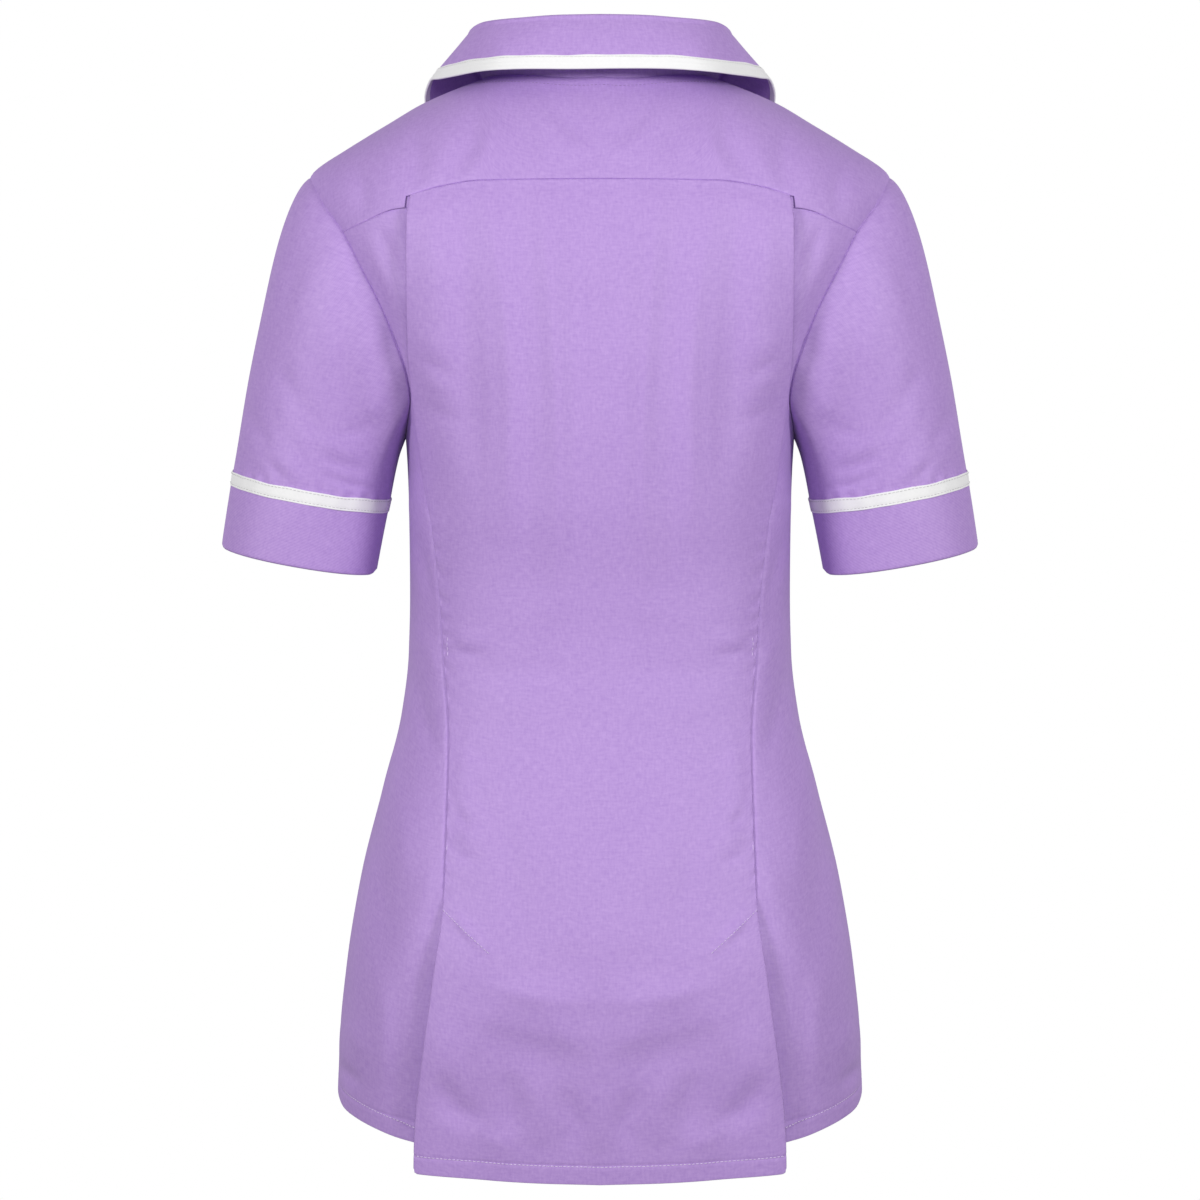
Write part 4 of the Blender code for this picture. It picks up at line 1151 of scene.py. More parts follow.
def side_back_points(side):
    """From under the centre back's fold out to the armhole and the side seam."""
    cell = sizes().cell / MM
    top, bottom = YOKE_CORNER, SIDE_BOTTOM
    hanging = joined(
        steps(top, top - 4, 1.0),
        steps(top - 4, -226, cell),
        steps(-226, -239, 1.0),
        steps(-239, bottom + 14, cell),
        *hem_rows(bottom, 0.8),
    )
    levels = np.concatenate((top + TUCKED_ROWS, hanging))
    level = levels[:, None]
    hidden = np.linspace(-1, 0, 9)
    near = np.array((0.012, 0.025, 0.045, 0.07))
    far = np.linspace(0.09, 0.94, 25)
    edge_columns = np.array((0.955, 0.968, 0.98, 0.99, 1.0))
    share = np.concatenate((hidden, near, far, edge_columns))[None, :]
    share = share if side > 0 else share[:, ::-1]
    out, under = np.maximum(share, 0), np.maximum(-share, 0)
    seam_line, hem_line = smooth_line(YOKE_SEAM_SIDE), smooth_line(SIDE_HEM)
    clipped = np.minimum(level, top)
    height = np.broadcast_to(level, (len(level), share.shape[1])).copy()
    for _ in range(6):
        edge = centre_edge(height)
        wide = half_width(height)
        outer = np.where(height >= UNDERARM, armhole_across[BACK](height), wide)
        first = np.arcsin(np.minimum((edge + 0.4) / wide, 1))
        last = np.arcsin(np.minimum(outer / wide, 1))
        across = wide * np.sin(first + (last - first) * out) - underlay(height) * under
        height = level_with_edges(
            clipped, across, top, bottom, seam_line, hem_line, BACK_ROWS_LEVEL_BY, out
        )
        height = height + np.maximum(level - top, 0)
    beside = across - edge
    lift = -sink(height) * eased(1 - beside / SINK_FADES_OVER)
    lift = lift + crease_rise(SIDE_BACK_CREASES, across, height) * eased(beside / 8)
    lift = lift + ripples(across, height, 3) * eased(beside / 8)
    lift = lift - stitched_part(height, 10) * seam_dip(beside, 1.5, 1.1) * (beside > 0)
    lift = lift - fold_hollow(across, height)
    layers = 2 * fold_radius(height) + PLEAT_GAP
    beneath = fold_lift(height) * eased(1 + beside / LIFT_FADES_OVER) - layers
    reach_under = eased(-(beside - 0.5) / 1.6)
    lift = lift * (1 - reach_under) + np.minimum(lift, beneath) * reach_under
    to_arm = np.where(height >= UNDERARM - 2, np.abs(outer - across), NO_EDGE_NEAR)
    to_side = (last - first) * (1 - out) * body_depth[BACK](height) * 0.9
    to_side = np.where(height < UNDERARM, to_side, NO_EDGE_NEAR)
    lift = lift * eased(to_side / 12)
    lift = lift - seam_dip(to_arm) - seam_dip(to_side, *FLAT_SEAM)
    tuck = tuck_under(level, top)
    lift = lift * (1 - tuck) - (TUCK_DEPTH + 1.2 * under) * tuck
    lift = lift - pressed(levels, sizes().hem / MM)
    return hemmed_panel(side * across, height, BACK, lift, levels, sizes().hem / MM, PANEL_CLEAR)


class TUNIC_OT_side_backs(Operator):
    """Sew the side backs between the centre back and the side seams"""

    bl_idname = "tunic.side_backs"
    bl_label = "Side backs"

    def execute(self, context):
        for name, side in SIDES:
            points, pattern = side_back_points(side)
            panel = lay_cloth(f"back_side_{name}_cloth", points, pattern, materials()["lilac cloth"])
            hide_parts(f"back_side_{name}")
        return {"FINISHED"}


# Front


def front_lift(across, height):
    across = np.abs(across)
    creases = crease_rise(FRONT_CREASES, across, height) + ripples(across, height, 4)
    return creases * eased((across - 16) / 14)


def lap_sink(across, side):
    """How far the left front sinks where the right one laps over it."""
    return UNDER_LAP_SINK * eased((LAP_ENDS - across) / LAP_FADES_OVER) if side < 0 else 0.0


def front_points(side):
    """From the edge past the centre line out to the armhole and side seam, with a turned-up hem."""
    cell = sizes().cell / MM * 1.25
    top, bottom = SHOULDER_POINT, SIDE_BOTTOM
    levels = joined(
        top - CLOSE_ROWS,
        steps(top - 3, -224, cell),
        steps(-224, -239, 1.2),
        steps(-239, bottom + 14, cell),
        *hem_rows(bottom, 1.0),
    )
    level = levels[:, None]
    lap = np.linspace(-OVERLAP, OVERLAP, 12)
    first = math.degrees(math.asin(OVERLAP / NECK_HALF_WIDTH)) / 90 * NECK_STEPS
    numbers = np.linspace(first, NECK_STEPS, int(64 / cell))[1:]
    shares = joined(np.linspace(0, 0.92, int(86 / cell)), np.linspace(0.92, 1, 8))[1:]
    lap_count, neck_count, out_count = len(lap), len(numbers), len(shares)
    part = np.repeat((0, 1, 2), (lap_count, neck_count, out_count))[None, :]
    value = np.concatenate((lap, numbers, shares))[None, :]
    if side > 0:
        part, value = part[:, ::-1], value[:, ::-1]
    neck_line, hem_line = smooth_line(FRONT_NECK), smooth_line(FRONT_HEM)
    outwards = np.where(part == 2, value, 0.0)

    def top_line(across):
        return np.where(across < NECK_HALF_WIDTH, neck_line(across), shoulder_height(across))

    height = np.broadcast_to(level, (len(level), part.shape[1])).copy()
    for _ in range(10):
        wide = half_width(height)
        spread = wide / half_width(0)
        outer = np.where(height >= UNDERARM, armhole_across[FRONT](height), wide)
        neck = OVERLAP + (NECK_HALF_WIDTH - OVERLAP) * spread
        turn_in = np.arcsin(np.minimum(neck / wide, 1))
        turn_out = np.arcsin(np.minimum(outer / wide, 1))
        side_part = wide * np.sin(turn_in + (turn_out - turn_in) * outwards)
        neck_part = OVERLAP + (neck_across(np.where(part == 1, value, 0)) - OVERLAP) * spread
        across = np.where(part == 0, value, np.where(part == 1, neck_part, side_part))
        height = level_with_edges(
            level, across, top, bottom, top_line, hem_line, FRONT_ROWS_LEVEL_BY, outwards
        )
    lift = front_lift(across, height)
    lift = lift * eased((top_line(np.abs(across)) - height) / 10)
    to_arm = np.where(height >= UNDERARM - 2, np.abs(outer - across), NO_EDGE_NEAR)
    to_side = (turn_out - turn_in) * (1 - outwards) * body_depth[FRONT](height)
    to_side = np.where(height < UNDERARM, to_side, NO_EDGE_NEAR)
    to_shoulder = np.where(part == 2, shoulder_height(across) - height, NO_EDGE_NEAR)
    lift = lift * eased(to_arm / 8) * eased(to_side / 12)
    lift = lift - seam_dip(to_arm) - seam_dip(to_side, *FLAT_SEAM) - seam_dip(to_shoulder, *FLAT_SEAM)
    lift = lift - lap_sink(across, side) - pressed(levels, sizes().hem / MM)
    return hemmed_panel(side * across, height, FRONT, lift, levels, sizes().hem / MM, PANEL_CLEAR)


class TUNIC_OT_fronts(Operator):
    """Sew the two fronts"""

    bl_idname = "tunic.fronts"
    bl_label = "Fronts"

    def execute(self, context):
        for name, side in SIDES:
            points, pattern = front_points(side)
            panel = lay_cloth(
                f"front_{name}_cloth", points, pattern, materials()["lilac cloth"], inward=True
            )
            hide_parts(f"front_{name}")
        return {"FINISHED"}


def band_surface(across, height):
    """Points on the button band, and their normals."""
    return run_on(across, height, FRONT, BAND_LIFT)


def strip_section(edge, radius, angles, turned_in=()):
    """A strip's section: places across it, and how far each lies behind its face.

    Its flat face comes with the folds of both edges and the places of the cloth turned in behind them.
    """
    flat = np.linspace(-edge, edge, 13)
    right = np.concatenate((edge + radius * np.sin(angles), edge - np.array(turned_in)))
    behind = np.concatenate((radius * (1 - np.cos(angles)), np.full(len(turned_in), 2 * radius)))
    across = np.concatenate((-right[::-1], flat, right))
    return across, np.concatenate((behind[::-1], np.zeros(len(flat)), behind))


def button_band_points():
    """The doubled strip down the right front's edge: its face, its folds and its back."""
    levels = steps(BAND_TOP, BAND_BOTTOM, 3.4)[:, None]
    across, inset = strip_section(OVERLAP - 0.6, 0.5, np.linspace(0, np.pi, 5)[1:], (4, 8))
    to_stitches = np.abs(across) - BAND_STITCHES
    puckers = 0.12 * np.sin(levels * 0.4) * bell(to_stitches, 2)
    lift = BAND_LIFT - inset * 0.96 + puckers - 0.2 * bell(to_stitches, 0.9)
    points = cloth_point(across[None, :], levels, FRONT, lift)
    along_strip = line_lengths(stack(across, inset))
    pattern = stack(along_strip[None, :], levels)
    return points[::-1], pattern[::-1]


class TUNIC_OT_button_band(Operator):
    """Sew the button band onto the right front"""

    bl_idname = "tunic.button_band"
    bl_label = "Button band"

    def execute(self, context):
        points, pattern = button_band_points()
        band = lay_cloth("button_band_cloth", points, pattern, materials()["lilac cloth"], inward=True)
        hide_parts("button_band")
        return {"FINISHED"}


class TUNIC_OT_buttons(Operator):
    """Turn the buttons, drill them and sew them on"""

    bl_idname = "tunic.buttons"
    bl_label = "Buttons"

    def execute(self, context):
        pattern = self.turned_button()
        holes = sizes().button_holes
        for number in range(BUTTONS):
            height = FIRST_BUTTON + (LAST_BUTTON - FIRST_BUTTON) * number / (BUTTONS - 1)
            button = pattern.copy()
            button.data = pattern.data.copy()
            button.name = button.data.name = f"button_{number + 1}_disc"
            context.scene.collection.objects.link(button)
            seat, normal = band_surface(0.0, height)
            facing = Vector(normal.ravel()).to_track_quat("Z", "Y").to_matrix()
            turn = np.array(facing)
            seat = seat.ravel() + BUTTON_SEAT * normal.ravel()
            self.place(button, turn, seat)
            finish_piece(button, materials()["lilac button"])
            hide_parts(f"button_{number + 1}")
            self.sew_on(number, turn, seat, holes)
        bpy.data.objects.remove(pattern)
        return {"FINISHED"}

    def place(self, thing, turn, seat):
        mesh = thing.data
        points = np.array([vert.co for vert in mesh.vertices])
        mesh.vertices.foreach_set("co", (points @ turn.T + seat * MM).ravel())
        mesh.update()

    def turned_button(self):
        """A disc with a rounded rim, a dished middle and drilled holes."""
        deselect_all()
        bpy.ops.mesh.primitive_cylinder_add(
            vertices=40,
            radius=BUTTON_RADIUS * MM,
            depth=BUTTON_DEPTH * MM,
            location=(0, 0, BUTTON_DEPTH * MM / 2),
        )
        disc = bpy.context.active_object
        bpy.ops.object.transform_apply(location=True, rotation=False, scale=False)
        bpy.ops.object.mode_set(mode="EDIT")
        bpy.ops.mesh.select_all(action="DESELECT")
        bpy.ops.object.mode_set(mode="OBJECT")
        for face in disc.data.polygons:
            face.select = face.normal.z > 0.9
        bpy.ops.object.mode_set(mode="EDIT")
        bpy.ops.mesh.inset(thickness=BUTTON_RIM * MM)
        bpy.ops.mesh.inset(thickness=0.0006, depth=-BUTTON_DISH * MM)
        bpy.ops.object.mode_set(mode="OBJECT")
        apply_modifier(
            disc, "BEVEL", "Rim", width=0.0005, segments=3, limit_method="ANGLE", angle_limit=math.radians(35)
        )
        for number in range(sizes().button_holes):
            angle = 2 * math.pi * (number + 0.5) / sizes().button_holes
            deselect_all()
            bpy.ops.mesh.primitive_cylinder_add(
                vertices=16,
                radius=HOLE_RADIUS * MM,
                depth=0.01,
                location=(HOLE_REACH * MM * math.cos(angle), HOLE_REACH * MM * math.sin(angle), 0),
            )
            drill = bpy.context.active_object
            apply_modifier(disc, "BOOLEAN", "Hole", operation="DIFFERENCE", solver="EXACT", object=drill)
            bpy.data.objects.remove(drill)
        smooth_shaded(disc, 35)
        return disc

    def sew_on(self, number, turn, seat, holes):
        """Threads that cross between the holes."""
        runs = []
        for pair in range(holes // 2):
            angle = 2 * math.pi * (pair + 0.5) / holes
            out = np.array((math.cos(angle), math.sin(angle), 0))
            share = np.linspace(-1, 1, 9)[:, None]
            bow = UP * (2.05 + 0.35 * pair - 1.3 * np.abs(share) ** 6)
            line = (out * HOLE_REACH * share + bow) @ turn.T + seat
            runs.append((line, np.tile(turn @ UP, (len(line), 1))))
        points, faces = self.thread_along(runs)
        name = f"button_{number + 1}_thread"
        finish_mesh(name, points, faces, materials()["lilac thread"])

    def thread_along(self, runs):
        """Tubes of six sides along each run, with closed ends."""
        points, faces = [], []
        for line, normals in runs:
            along = unit(np.gradient(line, axis=0))
            across = unit(np.cross(normals, along))
            raised = np.cross(along, across)
            start = len(points)
            for k in range(len(line)):
                for turn in range(6):
                    angle = math.pi * turn / 3
                    out = math.cos(angle) * across[k] + math.sin(angle) * raised[k]
                    points.append(line[k] + BUTTON_THREAD * out)
            for k in range(len(line) - 1):
                for turn in range(6):
                    a, b = start + 6 * k + turn, start + 6 * k + (turn + 1) % 6
                    faces.append([a, b, b + 6, a + 6])
            faces.append([start + turn for turn in range(5, -1, -1)])
            faces.append([start + 6 * (len(line) - 1) + turn for turn in range(6)])
        return np.array(points), faces


# Sleeves


def armhole_loop(side):
    """Points round the armhole from the shoulder point down the back and up the front.

    With them come their turns, the body's normals there and the directions in to the body's edge.
    """
    spread = (1 - np.cos(np.linspace(0, np.pi, 61))) / 2
    levels = SHOULDER_POINT + (UNDERARM - SHOULDER_POINT) * (0.35 * spread + 0.65 * np.linspace(0, 1, 61))
    halves = []
    for facing in (BACK, FRONT):
        across = armhole_across[facing](levels)
        hollow = fold_hollow(across, levels) if facing == BACK else 0.0
        points = cloth_point(side * across, levels, facing, -hollow)
        lengths = line_lengths(points)
        halves.append((points, np.pi * lengths / lengths[-1], cloth_normal(side * across, levels, facing)))
    (behind, down, normal_behind), (before, up, normal_before) = halves
    points = np.concatenate((behind, before[-2::-1]))
    normal = np.concatenate((normal_behind, normal_before[-2::-1]))
    for _ in range(6):
        normal[0] = normal[-1] = (normal[0] + normal[-1]) / 2
        normal[1:-1] = unit(normal[:-2] + 2 * normal[1:-1] + normal[2:])
        normal[0] = normal[-1] = unit(normal[1] + normal[-2])
    tangent = np.concatenate((points[-2:-1], points, points[1:2]))
    tangent = unit(tangent[2:] - tangent[:-2])
    inwards = unit(np.cross(normal, tangent)) * side
    return points, np.concatenate((down, 2 * np.pi - up[-2::-1])), normal, inwards


def leaving(turn, name):
    """One value of how the sleeve leaves the armhole at each turn.

    No turn is the top, a quarter the back and a half the underarm.
    """
    upright, sideways = np.cos(turn), np.sin(turn)
    end = np.where(upright > 0, getattr(LEAVE_TOP, name), getattr(LEAVE_UNDER, name))
    face = np.where(sideways > 0, getattr(LEAVE_BACK, name), getattr(LEAVE_FRONT, name))
    return end * upright**2 + face * sideways**2


def mirrored(vector, side):
    return np.asarray(vector, float) * (side, 1, 1)


def sleeve_frame(side):
    """The straight lower sleeve's axis, and its outward and rearward directions."""
    axis = mirrored(SLEEVE_AXIS, side)
    outwards = mirrored(unit(np.array((-SLEEVE_AXIS[2], 0, SLEEVE_AXIS[0]))), side)
    return axis, outwards, np.cross(axis, outwards) * side


def sleeve_ring(turn, along, side):
    """Points of the straight lower sleeve, along its axis from the tape's middle."""
    axis, outwards, rearwards = sleeve_frame(side)
    turn, along = np.broadcast_arrays(turn, along)
    turn, along = turn[..., None], along[..., None]
    taper = CUFF_TAPER * along / CUFF_LENGTH
    return (
        mirrored(SLEEVE_CENTRE, side)
        + axis * along
        + outwards * (SLEEVE_HALF_WIDTH - taper) * np.cos(turn)
        + rearwards * (SLEEVE_HALF_DEPTH - taper) * np.sin(turn)
    )


def ring_normal(turn, side):
    """Outward normals of the straight lower sleeve."""
    _, outwards, rearwards = sleeve_frame(side)
    cos, sin = np.cos(turn)[..., None], np.sin(turn)[..., None]
    return unit(outwards * cos / SLEEVE_HALF_WIDTH + rearwards * sin / SLEEVE_HALF_DEPTH)


def round_sleeve(turn):
    """Places round the sleeve on its flat cloth."""
    return (turn / np.pi * SLEEVE_HALF_GIRTH)[None, :]


def sleeve_points(side):
    """From inside the armhole seam to under the tape, its rows running up from the tape."""
    edge, turn, body, inwards = armhole_loop(side)
    start = edge - inwards * 0.3 - body * 0.8
    direction = unit(stack(side * leaving(turn, "across"), leaving(turn, "forward"), leaving(turn, "up")))
    end = sleeve_ring(turn, 1.5, side)
    first = start + direction * leaving(turn, "reach")[:, None]
    second = end - mirrored(SLEEVE_AXIS, side) * leaving(turn, "arrival")[:, None]
    share = joined(np.linspace(0, 0.02, 9), np.linspace(0.02, 0.96, 78), np.linspace(0.96, 1, 6))
    along = (share - 0.1 * np.sin(2 * np.pi * share))[:, None, None]
    away = 1 - along
    points = start * away**3 + first * 3 * away**2 * along + second * 3 * away * along**2 + end * along**3
    points = points[::-1]
    normal = grid_normals(points, closed=True) * -side
    behind = np.sin(turn)[None, :] > 0
    x, z = np.abs(points[..., 0]), points[..., 2]
    lift = np.where(
        behind, crease_rise(SLEEVE_BACK_CREASES, x, z), crease_rise(SLEEVE_FRONT_CREASES, x, z)
    )
    lift = lift * np.abs(np.sin(turn))[None, :] ** 0.5 + ripples(x + 90 * np.cos(turn), z, 5)
    travel = np.linalg.norm(points - points[-1], axis=-1)
    to_tape = np.linalg.norm(points - points[0], axis=-1)
    lift = lift * eased(travel / 12) * (0.15 + 0.85 * eased(to_tape / 14))
    gathers = 0.6 * np.sin(turn * 31 + 1.2 * np.sin(turn * 4))[None, :]
    lift = lift + gathers * bell(to_tape - 7.5, 3.2)
    ease = 0.12 * np.sin(turn * 18)[None, :] * bell(travel - 6, 4)
    rolled = 0.75 - 0.6 * np.clip(np.cos(turn), 0, 1)[None, :]
    lift = lift + ease + rolled * eased(travel / 1.6) * bell(travel, 14)
    points = points + normal * lift[..., None]
    allowance = ((0.2, 1.3), (1.2, 1.6), (3, 1.9))
    tucked = np.stack([edge + inwards * far - body * deep for far, deep in allowance])
    points = np.concatenate((points, tucked))
    return points, stack(round_sleeve(turn), lengths_along(points))


class TUNIC_OT_sleeves(Operator):
    """Set the short sleeves into their armholes"""

    bl_idname = "tunic.sleeves"
    bl_label = "Sleeves"

    def execute(self, context):
        for name, side in SIDES:
            points, pattern = sleeve_points(side)
            lilac = materials()["lilac cloth"]
            sleeve = lay_cloth(
                f"sleeve_{name}_cloth", points, pattern, lilac, closed=True, inward=side > 0
            )
            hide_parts(f"sleeve_{name}")
        return {"FINISHED"}


def cuff_points(side):
    """The doubled cuff: down its face, round the fold and up inside."""
    turn = armhole_loop(side)[1]
    radius = CUFF_FOLD
    down = joined(steps(1.0, CUFF_LENGTH - 5, 2.6), steps(CUFF_LENGTH - 5, CUFF_LENGTH - radius, 0.9))
    angles = np.linspace(0, np.pi, 9)[1:]
    along = np.concatenate((down, CUFF_LENGTH - radius + radius * np.sin(angles), down[::-1][1:]))
    flattened = 1.6 + (2 * radius - 1.6) * eased((down[::-1][1:] - CUFF_LENGTH + 16) / 14)
    inset = np.concatenate((np.zeros(len(down)), radius * (1 - np.cos(angles)), flattened))
    from_side = SLEEVE_HALF_WIDTH * (1 - np.abs(np.cos(turn))) + 0.15
    rounded = CUFF_CORNER - np.sqrt(CUFF_CORNER**2 - np.maximum(CUFF_CORNER - from_side, 0) ** 2)
    low = 1 - rounded[None, :] * eased((along[:, None] - 20) / (CUFF_LENGTH - 20)) / CUFF_LENGTH
    points = sleeve_ring(turn[None, :], along[:, None] * low, side)
    wave = 0.35 * np.sin(turn * 3 + 0.6)[None, :] * (along[:, None] / CUFF_LENGTH) ** 1.5
    wave = wave + 0.25 * np.sin(turn * 5 + along[:, None] * 0.06)
    wave = wave + 0.12 * np.sin(turn * 17 + along[:, None] * 0.12) * np.exp(-along[:, None] / 12)
    points = points + ring_normal(turn, side) * (wave - inset[:, None])[..., None]
    length = line_lengths(stack(along, inset))
    pattern = stack(round_sleeve(turn), -length[:, None])
    return points[::-1], pattern[::-1]


class TUNIC_OT_cuffs(Operator):
    """Sew the doubled cuffs, cut on the bias"""

    bl_idname = "tunic.cuffs"
    bl_label = "Cuffs"

    def execute(self, context):
        for name, side in SIDES:
            points, pattern = cuff_points(side)
            material = materials()["lilac cloth on the bias"]
            cuff = lay_cloth(f"cuff_{name}_cloth", points, pattern, material, closed=True, inward=side > 0)
            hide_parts(f"cuff_{name}")
        return {"FINISHED"}


def tape_surface(turn, along, side):
    """Points on the sleeve tape's face, and their normals."""
    turn, along = np.broadcast_arrays(turn, along)
    normal = ring_normal(turn, side)
    uneven = 0.3 * np.sin(turn * 7 + 0.5) + 0.18 * np.sin(turn * 13)
    edge = np.clip(along / (TAPE_WIDTH / 2), -1, 1)
    shifted = along + np.where(edge < 0, uneven * -edge, 0.4 * uneven * edge)
    wave = 0.14 * np.sin(turn * 23 + 0.7 * edge) + 0.12 * np.sin(turn * 5)
    dip = 0.22 * bell(along - TAPE_WIDTH / 2 + 1.5, 0.7)
    return sleeve_ring(turn, shifted, side) + normal * (TAPE_LIFT + wave - dip)[..., None], normal


def sleeve_tape_points(side):
    """The white tape over the cuff's seam: its face, with both edges pressed under."""
    turn = armhole_loop(side)[1]
    quarter = np.linspace(0, np.pi / 2, 4)[1:]
    along, inset = strip_section(TAPE_WIDTH / 2 - TAPE_FOLD, TAPE_FOLD, quarter)
    points, normal = tape_surface(turn[None, :], along[:, None], side)
    points = points - normal * inset[:, None, None]
    pattern = stack(round_sleeve(turn), -along[:, None])
    return points[::-1], pattern[::-1]


class TUNIC_OT_sleeve_tapes(Operator):
    """Sew the white tape over the seams of the cuffs"""

    bl_idname = "tunic.sleeve_tapes"
    bl_label = "Sleeve tapes"

    def execute(self, context):
        for name, side in SIDES:
            points, pattern = sleeve_tape_points(side)
            tape = lay_cloth(
                f"sleeve_tape_{name}_cloth",
                points,
                pattern,
                materials()["white tape"],
                wall=TAPE_WALL * MM,
                closed=True,
                inward=side > 0,
            )
            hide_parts(f"sleeve_tape_{name}")
        return {"FINISHED"}


# Collar


def neck_seam(turn, side):
    """A point of the neck seam at a turn in degrees from the centre back round to the front."""
    number = turn / 90 * NECK_STEPS
    across = NECK_HALF_WIDTH * math.sin(math.pi / 2 * number / NECK_STEPS)
    if turn <= 90:
        return cloth_point(side * across, back_neck_height(across), BACK).ravel()
    return cloth_point(side * across, smooth_line(FRONT_NECK)(across), FRONT).ravel()


def collar_section(share):
    """The collar's section from -1, the left front, to 1, the right front: the stand and the whole leaf.

    The stand's points run up its neck side; the leaf's run over the roll and down to its outer edge.
    """
    side = 1 if share >= 0 else -1
    turn = COLLAR_LAST_TURN * abs(share)
    across, forward, height, *edge = (float(line(turn)) for line in COLLAR_LINES)
    roll, edge = mirrored((across, forward, height), side), mirrored(edge, side)
    edge[2] += 0.7 * math.sin(share * 17) * math.exp(-((abs(share) - 0.33) / 0.2) ** 2)
    outwards = edge - roll
    outwards[2] = 0
    outwards = unit(outwards)
    hub = roll - UP * ROLL_RADIUS
    inner, outer = hub - outwards * ROLL_RADIUS, hub + outwards * ROLL_RADIUS
    seam = neck_seam(turn, side)
    along = (neck_seam(turn + 0.5, side) - neck_seam(max(turn - 0.5, 0), side)) * side
    rising = unit(inner - seam)
    towards_neck = unit(np.cross(rising, along))
    foot = seam + towards_neck * (STAND_WALL + 0.25)
    down = unit(foot - inner)
    stand_share = joined(np.linspace(0, 0.75, 8), np.linspace(0.75, 1, 5))[:, None]
    stand = foot - rising * 5 + (inner + down * 3 - foot + rising * 5) * stand_share
    angles = np.radians(np.linspace(0, 180, 11))[1:-1, None]
    over = hub + ROLL_RADIUS * (UP * np.sin(angles) - outwards * np.cos(angles))
    belly = (outer + edge) / 2 + (outwards + UP * 0.5) * LEAF_BULGE
    part = np.concatenate((np.linspace(0, 0.7, 17), np.linspace(0.7, 1, 13)[1:]))[:, None]
    face = outer * (1 - part) ** 2 + belly * 2 * part * (1 - part) + edge * part**2
    under = towards_neck * -0.2 + down * BREAK_BELOW_ROLL
    leaf = np.concatenate((inner[None] + under, inner[None] + under * 0.5, inner[None], over, face))
    return stand, leaf


def collar_grid():
    """Sections all round the collar: the stand's points, the leaf's points and the leaf's normals."""
    shares = np.linspace(-1, 1, COLLAR_COLUMNS)
    sections = [collar_section(share) for share in shares]
    stand = np.stack([section[0] for section in sections], axis=1)
    leaf = np.stack([section[1] for section in sections], axis=1)
    normal = -grid_normals(leaf)
    lift = crease_rise(COLLAR_CREASES, leaf[..., 0], leaf[..., 2]) * (leaf[..., 1] < 0)
    wave = 0.35 * np.sin(shares * 26 + 0.6 * np.sin(shares * 9))[None, :]
    lift = lift + wave * np.linspace(0, 1, leaf.shape[0])[:, None] ** 2
    return shares, stand, leaf + normal * lift[..., None], normal


def near_outer_edge(leaf, values, distance):
    """Values of the leaf's grid at a distance in from its outer edge, one for each column."""
    from_edge = lengths_along(leaf[::-1])
    columns = range(leaf.shape[1])
    return np.array([
        [np.interp(distance, from_edge[:, k], values[::-1, k, axis]) for axis in range(3)] for k in columns
    ])


def binding_points(leaf, normal):
    """White tape folded over the leaf's outer edge: up its face, round the edge and up its underside."""
    down = unit(leaf[-1] - leaf[-3])
    stand_off = 0.3
    depths = joined(np.linspace(BINDING_WIDTH, 1.2, 11), np.linspace(1.2, 0, 3))

    def on_leaf(depth, lift):
        facing = unit(near_outer_edge(leaf, normal, depth))
        return near_outer_edge(leaf, leaf, depth) + facing * lift

    ripple = 0.18 * np.sin(np.linspace(-1, 1, leaf.shape[1]) * 61)[:, None]
    face = [on_leaf(depth, stand_off + 0.12 * math.sin(2.2 * depth)) for depth in depths]
    face[0] = face[0] - normal[-1] * 0.3 + down * ripple
    wall = LEAF_WALL + 2 * stand_off
    centre = leaf[-1] - normal[-1] * LEAF_WALL / 2
    bend = [
        centre + wall / 2 * (normal[-1] * math.cos(angle) + down * math.sin(angle) * 0.9)
        for angle in np.linspace(0, np.pi, 7)[1:-1]
    ]
    back = [on_leaf(depth, -LEAF_WALL - stand_off) for depth in depths[::-1] * 0.4]
    return np.stack(face + bend + back)


class TUNIC_OT_collar(Operator):
    """Sew the collar: its stand, its leaf and the white binding round the leaf's edge"""

    bl_idname = "tunic.collar"
    bl_label = "Collar"

    def execute(self, context):
        shares, stand, leaf, normal = collar_grid()
        lilac, white = materials()["lilac cloth"], materials()["white tape"]
        piece = lay_cloth(
            "collar_stand_cloth", stand, self.flat(shares * COLLAR_HALF_LENGTH, lengths_along(stand)),
            lilac, wall=STAND_WALL * MM, inward=True,
        )
        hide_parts("collar_stand")
        piece = lay_cloth(
            "collar_leaf_cloth", leaf, self.flat(shares * COLLAR_HALF_LENGTH, -lengths_along(leaf)),
            lilac, wall=LEAF_WALL * MM, inward=True,
        )
        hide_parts("collar_leaf")
        binding = binding_points(leaf, normal)
        piece = lay_cloth(
            "collar_binding_cloth", binding, self.flat(shares * BINDING_HALF_LENGTH, -lengths_along(binding)),
            white, wall=BINDING_WALL * MM, inward=True,
        )
        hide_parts("collar_binding")
        return {"FINISHED"}

    def flat(self, around, down):
        return stack(np.broadcast_to(around, down.shape), down)


# Stitching


def back_run(across, height):
    return run_on(across, height, BACK, back_lift(across, height) + LAID_ON)


